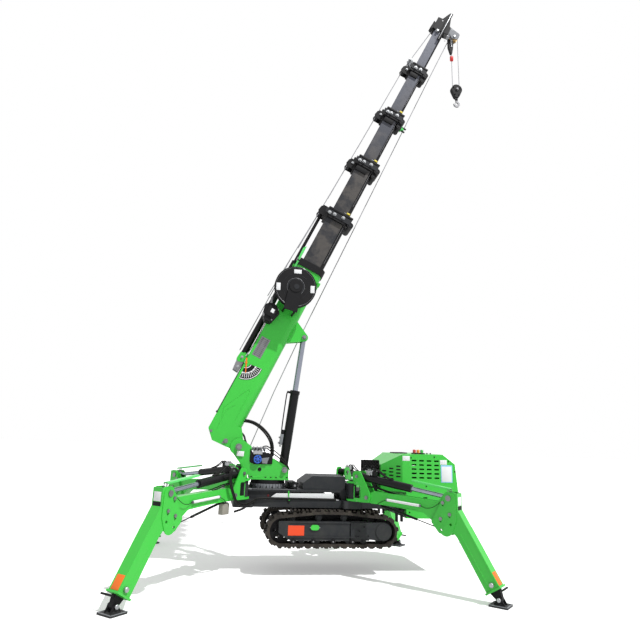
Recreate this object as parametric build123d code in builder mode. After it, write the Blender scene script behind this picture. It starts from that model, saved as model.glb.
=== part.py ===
from build123d import *
from math import atan2, cos, degrees, hypot, radians, sin, tan
import os

os.makedirs("parts", exist_ok=True)

# Compact crawler crane on four splayed outriggers, in millimetres. +X runs towards the engine
# hood, -Y is the side with the cable reel, Z 0 is the ground under the outrigger pads.

# Running fits and seats
pin_gap = 0.05
seat = 0.3
face_gap = 2.0

# Crawler tracks, lifted off the ground by the outriggers
track_x = 140
track_length = 1425
track_height = 371
track_bottom = 279
track_width = 200
track_middle = 300
belt = 24
lug_height = 18
lug_length = 46
lug_count = 32
lug_row = 110
end_radius = 147
crest_radius = 60
crest_at = (-150, 120)
roller_radius = 32
roller_pitch = 165
roller_count = 5

# Chassis
keel_half = 185
lower_half = 300
lower_bottom = 662
lower_top = 740
deck_bottom = 815
deck_top = 838
deck_half = 260
post_radius = 45
king_radius = 22
flange = 20
post_bottom = 768
post_top = 922
swing_y = 330

# Slewing column
slew_x = -540
ring_radius = 200
ring_height = 44
base_top = 945
base_thick = 20
column_half = 150
column_plate = 15
boom_pivot = (-894.5, 1258)
boom_pin = 30
luff_foot = (-376, 1030)
luff_pin = 25
drum_at = (-650, 1030)
drum_core = 55
drum_flange = 78
drum_half = 58
shaft_radius = 20

# Boom, measured along it from its pivot and back from the line through the pivot
boom_angle = 65
boom_axis = 229
base_width = 240
base_depth = 330
base_wall = 8
base_start = 60
base_end = 2300
section_wall = 6
belly_share = 0.36
pad_thick = 6
collar_length = 140
collar_rim = 32
# width, depth, end and length of each sliding section
sections = {
    2: (205, 285, 3100, 2150),
    3: (170, 245, 3985, 2050),
    4: (140, 210, 4870, 1950),
    5: (112, 180, 5755, 1850),
    6: (85, 147, 6560, 1700),
}
luff_head = (1451, -91)
reel_at = (1874, 292)
reel_radius = 247
reel_thick = 62
reel_y = 300

# Luffing cylinder
luff_barrel_radius = 52
luff_rod_radius = 32
luff_barrel_length = 880
ear_gap_half = 35

# Telescope cylinder on the boom's back
tele_back = 448
tele_radius = 38
tele_rod = 20
tele_start = 880
tele_end = 2255
tele_rod_length = 1425

# Hoist
sheave_at = (6580, -9)
sheave_radius = 58
block_drop = 905
fall_radius = 5

# Outriggers: swing pivot, side and plan direction in degrees from +X
outriggers = {
    "front_near": (-820, -1, 228),
    "front_far": (-820, 1, 132),
    "rear_near": (350, -1, 315),
    "rear_far": (350, 1, 45),
}
ear_pin = (92, 1000)
root_pin = (212, 795)
knee = (1115, 866)
leg_angle = 31
leg_end = (1507, 133)
leg_depth = 135
leg_width = 120
leg_wall = 8
leg_top = 252
arm_half = 44
cheek = 14
ear_half = 50
ear_plate = 12
stay_barrel = 40
stay_rod = 22
stay_length = 615
foot_pin = (1550, 56)
foot_plate = 170
foot_plate_thick = 14
foot_tongue = 24
cheek_rise = 7

# Hood and engine
hood_half = 372
hood_wall = 4
hood_front = 695
hood_shoulder = 908
hood_step = 950
hood_tail = 1572
hood_bottom = 578


def upright(origin=(0, 0, 0), turn=0):
    """Plane that stands along a plan direction: x outward, y up."""
    outward = Vector(cos(radians(turn)), sin(radians(turn)), 0)
    return Plane(origin=origin, x_dir=outward, z_dir=outward.cross(Vector(0, 0, 1)))


def rounded(*corners):
    """Face with straight sides, each corner given as x, y and its rounding."""
    with BuildSketch() as outline:
        with BuildLine():
            FilletPolyline(
                *[(x, y) for x, y, _ in corners], radius=[r for *_, r in corners], close=True
            )
        make_face()
    return outline.sketch


def hulled(*discs):
    """Face stretched round discs, each given as x, y and radius."""
    with BuildSketch() as outline:
        make_hull([Edge.make_circle(r, Plane((x, y, 0))) for x, y, r in discs])
    return outline.sketch


def rod_plane(plane, start, end):
    """Plane at start, in the local frame of plane, looking along the line to end."""
    first = plane.from_local_coords(Vector(*start, 0))
    last = plane.from_local_coords(Vector(*end, 0))
    return Plane(origin=first, x_dir=plane.z_dir, z_dir=last - first)


def both_sides(plane, inner, outer):
    """Planes that start a pair of plates lying from inner to outer on each side."""
    return plane.offset(inner), plane.offset(-outer)


middle = upright()
boom_side = Plane(
    origin=(boom_pivot[0], 0, boom_pivot[1]),
    x_dir=(cos(radians(boom_angle)), 0, sin(radians(boom_angle))),
    z_dir=(0, -1, 0),
)


def boom_section(along):
    """Plane across the boom: x to the far side, y to the boom's back."""
    origin = boom_side.from_local_coords(Vector(along, boom_axis, 0))
    return Plane(origin=origin, x_dir=(0, 1, 0), z_dir=boom_side.x_dir)


def tube_face(width, depth):
    """Boom profile about its axis, with a rounded belly and tight upper corners."""
    belly, top = belly_share * width, 0.06 * width
    w, d = width / 2, depth / 2
    return rounded((-w, -d, belly), (w, -d, belly), (w, d, top), (-w, d, top))


def slide_pads(carried, room_width, room_depth):
    """Faces of the pads in a mouth that carry the next section on all four sides."""
    width, depth = carried[0], carried[1]
    with BuildSketch() as pads:
        for side in (-1, 1):
            gap = (room_width - width) / 2 - seat
            with Locations((side * (width / 2 + seat + gap / 2 + 1), 0)):
                Rectangle(gap + 2, depth * 0.3)
            gap = (room_depth - depth) / 2 - seat
            with Locations((0, side * (depth / 2 + seat + gap / 2 + 1))):
                Rectangle(width * 0.25, gap + 2)
    return pads.sketch


def belt_discs(inset):
    """Discs that the track runs round, shrunk by inset from its outer face."""
    reach = track_length / 2 - lug_height - end_radius
    low = track_bottom + lug_height + end_radius
    high = track_bottom + track_height - lug_height - crest_radius
    ends = [(track_x + s * reach, low, end_radius - inset) for s in (-1, 1)]
    return ends + [(track_x + x, high, crest_radius - inset) for x in crest_at]


def track(side, name):
    inner = track_middle - track_width / 2
    start = inner if side < 0 else -inner - track_width
    face = Plane.XZ.offset(start)
    outline = hulled(*belt_discs(0)).wire()
    centre = outline.center()
    with BuildPart() as loop:
        with BuildSketch(face):
            add(hulled(*belt_discs(0)))
            add(hulled(*belt_discs(belt)), mode=Mode.SUBTRACT)
        extrude(amount=track_width)
        # two rows of lugs, the second half a pitch on from the first
        for phase, shift in ((0, 0), (0.5, track_width - lug_row)):
            with BuildSketch(face.offset(shift)):
                for number in range(lug_count):
                    share = (number + phase) / lug_count
                    spot, along = outline.position_at(share), outline.tangent_at(share)
                    away = Vector(along.Y, -along.X, 0)
                    if away.dot(spot - centre) < 0:
                        away = away * -1
                    with Locations(Location((spot.X, spot.Y), degrees(atan2(-away.X, away.Y)))):
                        half, tip = lug_length / 2, lug_length / 2 - 7
                        Polygon(
                            (-half, -4), (half, -4), (tip, lug_height), (-tip, lug_height), align=None
                        )
            extrude(amount=lug_row)
    loop.part.label = name
    export_step(loop.part, f"parts/{name}.step")


def track_frame(side, name):
    discs = belt_discs(belt)
    (idler_x, axle_z, _), (drive_x, _, _) = discs[0], discs[1]
    crest_z, crest_inner = discs[2][1], discs[2][2]
    panel_in, panel_out, beam_in = track_middle + 65, track_middle + 84, track_middle - 65
    low, high = track_bottom + 73, track_bottom + 261
    roller_z = track_bottom + lug_height + belt + roller_radius + seat

    def at(y):
        return Plane.XZ.offset(y if side < 0 else -y)

    out = 1 if side < 0 else -1
    with BuildPart() as frame:
        with BuildSketch(at(beam_in)):
            add(rounded((idler_x + 150, low, 0), (drive_x - 150, low, 0),
                        (drive_x - 150, high, 0), (idler_x + 150, high, 0)))
        extrude(amount=out * (panel_in - beam_in))
        with BuildSketch(at(panel_in)):
            add(rounded((idler_x - 30, high, 12), (idler_x - 30, low + 75, 8),
                        (idler_x + 95, low, 8), (drive_x - 372, low, 0), (drive_x - 372, high, 8)))
            add(rounded((drive_x - 358, low - 4, 6), (drive_x - 235, low - 4, 6),
                        (drive_x - 262, high + 4, 6), (drive_x - 358, high + 4, 6)))
            add(hulled((drive_x - 245, axle_z - 40, 30), (drive_x - 245, axle_z + 55, 30),
                       (drive_x, axle_z, 92)))
        extrude(amount=out * (panel_out - panel_in))
        with BuildSketch(at(track_middle + 25)):
            with Locations((drive_x, axle_z)):
                Circle(84)
        extrude(amount=out * 68)
        with BuildSketch(at(beam_in + 4)):
            for number in range(roller_count):
                offset_x = (number - (roller_count - 1) / 2) * roller_pitch
                with Locations((track_x + offset_x, roller_z)):
                    Circle(roller_radius)
        extrude(amount=out * (panel_in - beam_in - 4))
        # top rollers on posts that rise from the beam
        with BuildSketch(at(track_middle - 40)):
            for x in crest_at:
                with Locations((track_x + x, crest_z)):
                    Circle(crest_inner - seat)
        extrude(amount=out * 80)
        with BuildSketch(at(track_middle + 40)):
            for x in crest_at:
                with Locations((track_x + x, (crest_z + high) / 2)):
                    Rectangle(36, crest_z - high + 30)
        extrude(amount=out * 14)
    frame.part.label = name
    export_step(frame.part, f"parts/{name}.step")

    wheels_name = name.replace("frame", "wheels")
    with BuildPart() as wheels:
        with BuildSketch(at(track_middle - 25)):
            with Locations((drive_x, axle_z)):
                Circle(end_radius - belt - seat)
            with Locations((drive_x, axle_z)):
                with PolarLocations(end_radius - belt + 8, 11):
                    Circle(22, mode=Mode.SUBTRACT)
        extrude(amount=out * 50)
        with BuildSketch(at(track_middle - 30)):
            with Locations((idler_x, axle_z)):
                Circle(end_radius - belt - seat)
                with PolarLocations(72, 6):
                    Circle(20, mode=Mode.SUBTRACT)
        extrude(amount=out * 60)
        with BuildSketch(at(track_middle - 40)):
            with Locations((idler_x, axle_z)):
                Circle(40)
        extrude(amount=out * (panel_in - track_middle + 40))
    wheels.part.label = wheels_name
    export_step(wheels.part, f"parts/{wheels_name}.step")


def chassis():
    front_x, rear_x = outriggers["front_near"][0], outriggers["rear_near"][0]
    with BuildPart() as frame:
        with BuildSketch(middle):
            add(rounded((track_x - 380, 392, 20), (track_x + 380, 392, 20),
                        (track_x + 380, lower_bottom + 10, 0), (track_x - 380, lower_bottom + 10, 0)))
        extrude(amount=keel_half, both=True)
        with BuildSketch(middle):
            add(rounded((front_x - 10, lower_bottom + 30, 20), (front_x + 90, lower_bottom, 20),
                        (track_x + 660, lower_bottom, 10), (track_x + 660, lower_top, 0),
                        (front_x - 10, lower_top, 0)))
        extrude(amount=lower_half, both=True)
        # cross heads under the outrigger posts
        for x in (front_x, rear_x):
            with BuildSketch(Plane.XY.offset(lower_bottom)):
                with Locations((x, 0)):
                    RectangleRounded(210, 2 * swing_y + 70, 30)
            extrude(amount=lower_top - lower_bottom)
        # cross tubes into the track frames
        with BuildSketch(middle):
            with Locations((track_x - 240, 450), (track_x + 240, 450)):
                Rectangle(120, 90)
        extrude(amount=track_middle - 65, both=True)
        # pedestals that lift the deck, with daylight between them
        with BuildSketch(middle):
            add(rounded((front_x - 45, lower_top, 0), (slew_x + 40, lower_top, 0),
                        (slew_x + 170, deck_bottom, 0), (front_x - 45, deck_bottom, 0)))
            add(rounded((rear_x - 95, lower_top, 0), (track_x + 560, lower_top, 0),
                        (track_x + 560, deck_bottom, 0), (rear_x - 120, deck_bottom, 0)))
        extrude(amount=deck_half - 20, both=True)
        with BuildSketch(Plane.XY.offset(deck_bottom)):
            add(rounded((front_x + 55, -deck_half, 0), (slew_x + 320, -deck_half, 0),
                        (track_x + 570, -deck_half + 40, 30), (track_x + 570, deck_half - 40, 30),
                        (slew_x + 320, deck_half, 0), (front_x + 55, deck_half, 0)))
        extrude(amount=deck_top - deck_bottom)
        # beams that reach out to the swing posts
        for x in (front_x, rear_x):
            with BuildSketch(Plane.XY.offset(post_bottom + 10)):
                with Locations((x, 0)):
                    Rectangle(84, 2 * swing_y)
            extrude(amount=post_top - post_bottom - 20)
        with BuildSketch(Plane.XY.offset(post_bottom)):
            with Locations(*[(x, side * swing_y) for x, side, _ in outriggers.values()]):
                Circle(post_radius)
        extrude(amount=post_top - post_bottom)
        with BuildSketch(Plane.XY.offset(post_bottom)):
            with Locations(*[(x, side * swing_y) for x, side, _ in outriggers.values()]):
                Circle(king_radius + pin_gap)
        extrude(amount=post_top - post_bottom, mode=Mode.SUBTRACT)
        # engine bay floor with a drop-down tail
        with BuildSketch(middle):
            add(rounded((track_x + 640, 640, 0), (track_x + 900, 640, 0), (track_x + 900, 668, 0),
                        (track_x + 700, 668, 0), (track_x + 700, lower_top, 0),
                        (track_x + 640, lower_top, 0)))
        extrude(amount=lower_half, both=True)
        with BuildSketch(middle):
            add(rounded((hood_step + hood_wall + seat, 640, 0), (hood_tail - 44, 640, 0),
                        (hood_tail - 44, 668, 0), (hood_step + hood_wall + seat, 668, 0)))
        extrude(amount=hood_half - hood_wall - seat, both=True)
    frame.part.label = "chassis"
    export_step(frame.part, "parts/chassis.step")


def deck_box():
    with BuildPart() as box:
        with BuildSketch(middle):
            add(rounded((-176, deck_top, 0), (296, deck_top, 0), (296, 978, 6), (-72, 978, 6),
                        (-176, 905, 6)))
        extrude(amount=deck_half - 30, both=True)
    box.part.label = "deck_box"
    export_step(box.part, "parts/deck_box.step")


def slewing_ring():
    with BuildPart() as ring:
        with BuildSketch(Plane.XY.offset(deck_top)):
            with Locations((slew_x, 0)):
                Circle(ring_radius)
                Circle(ring_radius - 60, mode=Mode.SUBTRACT)
                with PolarLocations(ring_radius, 36):
                    Rectangle(16, 15, mode=Mode.SUBTRACT)
        extrude(amount=ring_height)
        with BuildSketch(Plane.XY.offset(deck_top)):
            with Locations((slew_x, 0)):
                Circle(ring_radius - 8)
                Circle(ring_radius - 60, mode=Mode.SUBTRACT)
        extrude(amount=ring_height)
    ring.part.label = "slewing_ring"
    export_step(ring.part, "parts/slewing_ring.step")

    with BuildPart() as drive:
        drive_x, drive_z = slew_x + ring_radius + 62, deck_top + 38
        with BuildSketch(Plane.XY.offset(deck_top)):
            with Locations((drive_x, 0)):
                RectangleRounded(96, 300, 12)
        extrude(amount=66)
        with BuildSketch(Plane.XZ.offset(150)):
            with Locations((drive_x, drive_z)):
                Circle(36)
        extrude(amount=70)
        with BuildSketch(Plane.XZ.offset(220)):
            with Locations((drive_x, drive_z)):
                Circle(24)
        extrude(amount=22)
    drive.part.label = "slew_drive"
    export_step(drive.part, "parts/slew_drive.step")


def column():
    px, pz = boom_pivot
    lx, lz = luff_foot
    left = slew_x - 209
    side_face = rounded(
        (left, base_top - 2, 0), (slew_x + 212, base_top - 2, 0), (slew_x + 209, 1058, 14),
        (slew_x + 28, 1152, 8), (slew_x + 12, 1084, 10), (left + 20, 1080, 14), (left - 4, 1268, 10),
        (px + 60, pz + 66, 0), (px, pz, 0), (px - 78, pz - 36, 0))
    with BuildPart() as post:
        with BuildSketch(*both_sides(middle, column_half - column_plate, column_half)):
            add(side_face)
            with Locations((px, pz)):
                Circle(90)
        extrude(amount=column_plate)
        with BuildSketch(Plane.XY.offset(base_top - base_thick)):
            with Locations((slew_x, 0)):
                Rectangle(424, 340)
        extrude(amount=base_thick)
        with BuildSketch(Plane.XY.offset(deck_top + ring_height + seat)):
            with Locations((slew_x, 0)):
                Circle(ring_radius - 12)
        extrude(amount=base_top - base_thick - deck_top - ring_height - seat)
        # web along the leaning edge
        lean = atan2(pz - 36 - base_top, left - px + 78)
        web_length = 205
        with BuildSketch(middle):
            add(rounded((left, base_top - 5, 0), (left + 14, base_top - 5, 0),
                        (left + 14 - web_length * cos(lean), base_top + web_length * sin(lean), 0),
                        (left - web_length * cos(lean), base_top + web_length * sin(lean), 0)))
        extrude(amount=column_half - column_plate + 1, both=True)
        # pins for the boom and for the luffing cylinder
        for (x, z), radius in ((boom_pivot, boom_pin), (luff_foot, luff_pin)):
            with BuildSketch(middle):
                with Locations((x, z)):
                    Circle(radius)
            extrude(amount=column_half + 12, both=True)
        for side in (-1, 1):
            with BuildSketch(middle.offset(side * (column_half - column_plate))):
                with Locations(luff_foot):
                    Circle(luff_pin + 15)
            extrude(amount=-side * (column_half - column_plate - 60 - face_gap))
        # shaft bores of the winch
        with BuildSketch(middle):
            with Locations(drum_at):
                Circle(shaft_radius + pin_gap)
        extrude(amount=column_half + 20, both=True, mode=Mode.SUBTRACT)
    post.part.label = "column"
    export_step(post.part, "parts/column.step")

    with BuildPart() as drum:
        with BuildSketch(middle):
            with Locations(drum_at):
                Circle(drum_core)
        extrude(amount=drum_half, both=True)
        with BuildSketch(*both_sides(middle, drum_half - 8, drum_half)):
            with Locations(drum_at):
                Circle(drum_flange)
        extrude(amount=8)
        with BuildSketch(middle):
            with Locations(drum_at):
                Circle(shaft_radius)
        extrude(amount=column_half + 4, both=True)
    drum.part.label = "winch_drum"
    export_step(drum.part, "parts/winch_drum.step")

    with BuildPart() as valve:
        with BuildSketch(Plane.XY.offset(1084)):
            with Locations((slew_x - 105, -112)):
                Rectangle(150, 76)
        extrude(amount=100)
        with BuildSketch(Plane.XY.offset(1184)):
            with Locations((slew_x - 140, -112)):
                Rectangle(70, 60)
            with Locations((slew_x - 65, -112)):
                Circle(22)
        extrude(amount=26)
        with BuildSketch(Plane.XY.offset(1210)):
            with Locations((slew_x - 140, -112)):
                RectangleRounded(92, 70, 12)
        extrude(amount=48)
        with BuildSketch(Plane.XZ.offset(150)):
            with Locations((slew_x - 128, 1135)):
                Circle(42)
        extrude(amount=22)
    valve.part.label = "crane_valve"
    export_step(valve.part, "parts/crane_valve.step")


def boom_base():
    foot_half = base_width / 2
    with BuildPart() as base:
        with BuildSketch(boom_section(base_start + 90)):
            add(tube_face(base_width, base_depth))
        extrude(amount=base_end - base_start - 90)
        low, high = boom_axis - base_depth / 2, boom_axis + base_depth / 2
        with BuildSketch(boom_side):
            add(rounded((base_start + 130, low, 0), (base_start + 130, high, 0), (27, high, 20),
                        (-69, 293, 10), (-58, 62, 10), (-62, -10, 0), (0, 0, 0), (62, -28, 0)))
            Circle(74)
        extrude(amount=foot_half, both=True)
        # room for the sliding sections, then the open foot
        with BuildSketch(boom_section(base_start + 110)):
            add(tube_face(base_width - 2 * base_wall, base_depth - 2 * base_wall))
        extrude(amount=base_end - base_start - 110, mode=Mode.SUBTRACT)
        with BuildSketch(boom_side):
            Rectangle(2 * (base_start + 115), 700)
        extrude(amount=foot_half - 20, both=True, mode=Mode.SUBTRACT)
        # mouth collar with pads that carry the next section
        with BuildSketch(boom_section(base_end - 90)):
            add(tube_face(base_width + 24, base_depth + 24))
            add(tube_face(base_width - 2 * base_wall, base_depth - 2 * base_wall), mode=Mode.SUBTRACT)
        extrude(amount=90)
        with BuildSketch(boom_section(base_end - 70)):
            add(slide_pads(sections[2], base_width - 2 * base_wall, base_depth - 2 * base_wall))
        extrude(amount=60)
        # ears of the luffing cylinder
        ux, uz = luff_head
        with BuildSketch(*both_sides(boom_side, ear_gap_half + seat, ear_gap_half + 18)):
            add(hulled((ux, uz, 46), (ux - 150, low + 6, 6), (ux + 125, low + 6, 6)))
        extrude(amount=18 - seat)
        with BuildSketch(*both_sides(boom_side, ear_gap_half + 17, ear_gap_half + 30)):
            with Locations(luff_head):
                Circle(32)
        extrude(amount=13)
        # pivot bore
        with BuildSketch(boom_side):
            Circle(boom_pin + pin_gap)
        extrude(amount=foot_half + 20, both=True, mode=Mode.SUBTRACT)
        # bosses that fill the gap to the column's plates
        with BuildSketch(*both_sides(boom_side, foot_half - 1, column_half - column_plate - face_gap)):
            Circle(52)
            Circle(boom_pin + pin_gap, mode=Mode.SUBTRACT)
        extrude(amount=column_half - column_plate - face_gap - foot_half + 1)
        # reel axle on a box
        with BuildSketch(boom_side.offset(foot_half - 2)):
            with Locations(reel_at):
                RectangleRounded(130, 110, 12)
        extrude(amount=60)
        with BuildSketch(boom_side.offset(foot_half + 50)):
            with Locations(reel_at):
                Circle(shaft_radius)
        extrude(amount=reel_y + reel_thick / 2 + 12 - foot_half - 50)
        # saddles of the telescope cylinder
        for along in (tele_start + 60, tele_end - 60):
            with BuildSketch(boom_section(along - 20)):
                with Locations((0, (base_depth / 2 + tele_back - boom_axis) / 2)):
                    Rectangle(90, tele_back - boom_axis - base_depth / 2 + 4)
                with Locations((0, tele_back - boom_axis)):
                    Circle(tele_radius + seat, mode=Mode.SUBTRACT)
            extrude(amount=40)
    base.part.label = "boom_base"
    export_step(base.part, "parts/boom_base.step")


def boom_slider(number):
    width, depth, end, length = sections[number]
    name = f"boom_section_{number}"
    inner_width, inner_depth = width - 2 * section_wall, depth - 2 * section_wall
    with BuildPart() as tube:
        with BuildSketch(boom_section(end - length)):
            add(tube_face(width, depth))
            add(tube_face(inner_width, inner_depth), mode=Mode.SUBTRACT)
        extrude(amount=length)
        if number + 1 in sections:
            with BuildSketch(boom_section(end - collar_length)):
                add(tube_face(width + 2 * collar_rim, depth + 2 * collar_rim))
                add(tube_face(inner_width, inner_depth), mode=Mode.SUBTRACT)
            extrude(amount=collar_length)
            # rope guide on the back
            with BuildSketch(boom_section(end - collar_length + 20)):
                with Locations((0, depth / 2 + collar_rim + 18)):
                    RectangleRounded(width * 0.5, 50, 8)
            extrude(amount=collar_length - 50)
            with BuildSketch(boom_section(end - 70)):
                add(slide_pads(sections[number + 1], inner_width, inner_depth))
            extrude(amount=60)
        if number == 2:
            with BuildSketch(boom_section(end - 80)):
                with Locations((0, tele_back - boom_axis)):
                    Circle(tele_rod)
            extrude(amount=-tele_rod_length)
            with BuildSketch(boom_section(end - 110)):
                with Locations((0, (depth / 2 + tele_back - boom_axis + 20) / 2)):
                    Rectangle(56, tele_back - boom_axis - depth / 2 + 28)
            extrude(amount=46)
    tube.part.label = name
    export_step(tube.part, f"parts/{name}.step")


def boom_head():
    tip_start = sections[6][2] - 40
    width, depth = sections[6][0], sections[6][1]
    low, high = boom_axis - depth / 2, boom_axis + depth / 2
    sx, sz = sheave_at
    plate = 10
    with BuildPart() as head:
        with BuildSketch(*both_sides(boom_side, width / 2, width / 2 + plate)):
            add(rounded((tip_start, low - 10, 0), (tip_start, high + 14, 6), (tip_start + 110, high + 14, 30),
                        (sx + 312, boom_axis - 10, 8), (sx + 312, boom_axis - 40, 8),
                        (sx + 90, low - 30, 30), (sx + 62, sz - 50, 30), (sx - 40, sz - 62, 30),
                        (tip_start + 10, low - 60, 10)))
        extrude(amount=plate)
        # closing plate across the back and the sheave pin
        with BuildSketch(boom_side):
            add(rounded((tip_start + 45, high, 0), (tip_start + 45, high + 14, 0),
                        (tip_start + 110, high + 14, 0), (sx + 312, boom_axis - 10, 0),
                        (sx + 308, boom_axis - 24, 0), (tip_start + 104, high, 0)))
            with Locations(sheave_at):
                Circle(shaft_radius)
        extrude(amount=width / 2 + 1, both=True)
    head.part.label = "boom_head"
    export_step(head.part, "parts/boom_head.step")

    with BuildPart() as sheave:
        half = width / 2 - face_gap
        with BuildSketch(Plane(boom_side.from_local_coords(Vector(sx, sz, 0)), x_dir=(1, 0, 0), z_dir=(0, 1, 0))):
            Circle(sheave_radius)
            Circle(shaft_radius + pin_gap, mode=Mode.SUBTRACT)
        extrude(amount=half, both=True)
        with BuildSketch(Plane(boom_side.from_local_coords(Vector(sx, sz, 0)), x_dir=(1, 0, 0), z_dir=(0, 1, 0))):
            Circle(sheave_radius + 1)
            Circle(sheave_radius - 12, mode=Mode.SUBTRACT)
        extrude(amount=half - 12, both=True, mode=Mode.SUBTRACT)
    sheave.part.label = "head_sheave"
    export_step(sheave.part, "parts/head_sheave.step")


def hoist():
    at = boom_side.from_local_coords(Vector(*sheave_at, 0))
    top = at.Z - block_drop
    spread = sheave_radius - 12 + fall_radius + seat
    with BuildPart() as falls:
        with BuildSketch(Plane.XY.offset(top)):
            with Locations((at.X - spread, 0), (at.X + spread, 0)):
                Circle(fall_radius)
        extrude(amount=block_drop)
    falls.part.label = "hoist_falls"
    export_step(falls.part, "parts/hoist_falls.step")

    with BuildPart() as block:
        with BuildSketch(middle):
            add(hulled((at.X, top, 78), (at.X, top - 95, 40)))
        extrude(amount=34, both=True)
        with BuildSketch(middle):
            add(hulled((at.X, top, 60), (at.X, top + 60, 60)))
        extrude(amount=14, both=True, mode=Mode.SUBTRACT)
        with BuildSketch(middle):
            with Locations((at.X, top)):
                Circle(18)
        extrude(amount=40, both=True)
        with BuildSketch(middle):
            with Locations((at.X, top)):
                Circle(spread - fall_radius - seat)
        extrude(amount=12, both=True)
        with BuildSketch(Plane.XY.offset(top - 160)):
            with Locations((at.X, 0)):
                Circle(16 + pin_gap)
        extrude(amount=44, mode=Mode.SUBTRACT)
    block.part.label = "hook_block"
    export_step(block.part, "parts/hook_block.step")

    with BuildPart() as hook:
        bend = 34
        eye = top - 135 - 62 - bend
        with BuildSketch(Plane.XY.offset(top - 160)):
            with Locations((at.X, 0)):
                Circle(16)
        extrude(amount=40)
        with BuildSketch(middle):
            with Locations((at.X, eye)):
                Circle(bend + 13)
                Circle(bend - 11, mode=Mode.SUBTRACT)
                Polygon((0, 0), (-70, 4), (-70, 60), (-8, 60), align=None, mode=Mode.SUBTRACT)
            add(hulled((at.X, top - 150, 13), (at.X, eye + bend, 13)))
        extrude(amount=12, both=True)
    hook.part.label = "hook"
    export_step(hook.part, "parts/hook.step")


def luff_cylinder():
    head_world = boom_side.from_local_coords(Vector(*luff_head, 0))
    head = (head_world.X, head_world.Z)
    along = hypot(head[0] - luff_foot[0], head[1] - luff_foot[1])
    axis = rod_plane(middle, luff_foot, head)
    bore = luff_barrel_radius - 8
    with BuildPart() as barrel:
        with BuildSketch(axis.offset(30)):
            Circle(luff_barrel_radius)
        extrude(amount=luff_barrel_length - 30)
        with BuildSketch(middle):
            with Locations(luff_foot):
                Circle(50)
        extrude(amount=60, both=True)
        with BuildSketch(axis.offset(80)):
            Circle(bore)
        extrude(amount=luff_barrel_length - 130, mode=Mode.SUBTRACT)
        with BuildSketch(axis.offset(luff_barrel_length - 60)):
            Circle(luff_rod_radius + pin_gap)
        extrude(amount=70, mode=Mode.SUBTRACT)
        with BuildSketch(axis.offset(luff_barrel_length - 40)):
            Circle(luff_barrel_radius + 6)
            Circle(luff_rod_radius + pin_gap, mode=Mode.SUBTRACT)
        extrude(amount=40)
        with BuildSketch(middle):
            with Locations(luff_foot):
                Circle(luff_pin + pin_gap)
        extrude(amount=70, both=True, mode=Mode.SUBTRACT)
    barrel.part.label = "luff_barrel"
    export_step(barrel.part, "parts/luff_barrel.step")

    with BuildPart() as rod:
        with BuildSketch(axis.offset(luff_barrel_length - 220)):
            Circle(luff_rod_radius)
        extrude(amount=along - luff_barrel_length + 190)
        with BuildSketch(axis.offset(luff_barrel_length - 220)):
            Circle(bore - pin_gap)
        extrude(amount=40)
        with BuildSketch(middle):
            with Locations(head):
                Circle(48)
        extrude(amount=ear_gap_half, both=True)
    rod.part.label = "luff_rod"
    export_step(rod.part, "parts/luff_rod.step")


def telescope_cylinder():
    with BuildPart() as cylinder:
        with BuildSketch(boom_section(tele_start)):
            with Locations((0, tele_back - boom_axis)):
                Circle(tele_radius)
        extrude(amount=tele_end - tele_start)
        with BuildSketch(boom_section(tele_start + 20)):
            with Locations((0, tele_back - boom_axis)):
                Circle(tele_rod + 6)
        extrude(amount=tele_end - tele_start - 60, mode=Mode.SUBTRACT)
        with BuildSketch(boom_section(tele_end - 50)):
            with Locations((0, tele_back - boom_axis)):
                Circle(tele_rod + pin_gap)
        extrude(amount=60, mode=Mode.SUBTRACT)
    cylinder.part.label = "telescope_cylinder"
    export_step(cylinder.part, "parts/telescope_cylinder.step")


def cable_reel():
    centre = boom_side.offset(reel_y - reel_thick / 2)
    with BuildPart() as reel:
        with BuildSketch(centre):
            with Locations(reel_at):
                Circle(reel_radius)
        extrude(amount=7)
        with BuildSketch(centre.offset(reel_thick - 7)):
            with Locations(reel_at):
                Circle(reel_radius)
        extrude(amount=7)
        with BuildSketch(centre):
            with Locations(reel_at):
                Circle(reel_radius - 60)
        extrude(amount=reel_thick)
        with BuildSketch(centre.offset(reel_thick)):
            with Locations(reel_at):
                Circle(80)
        extrude(amount=10)
        with BuildSketch(centre):
            with Locations(reel_at):
                Circle(shaft_radius + pin_gap)
        extrude(amount=reel_thick + 10, mode=Mode.SUBTRACT)
    reel.part.label = "cable_reel"
    export_step(reel.part, "parts/cable_reel.step")


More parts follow.
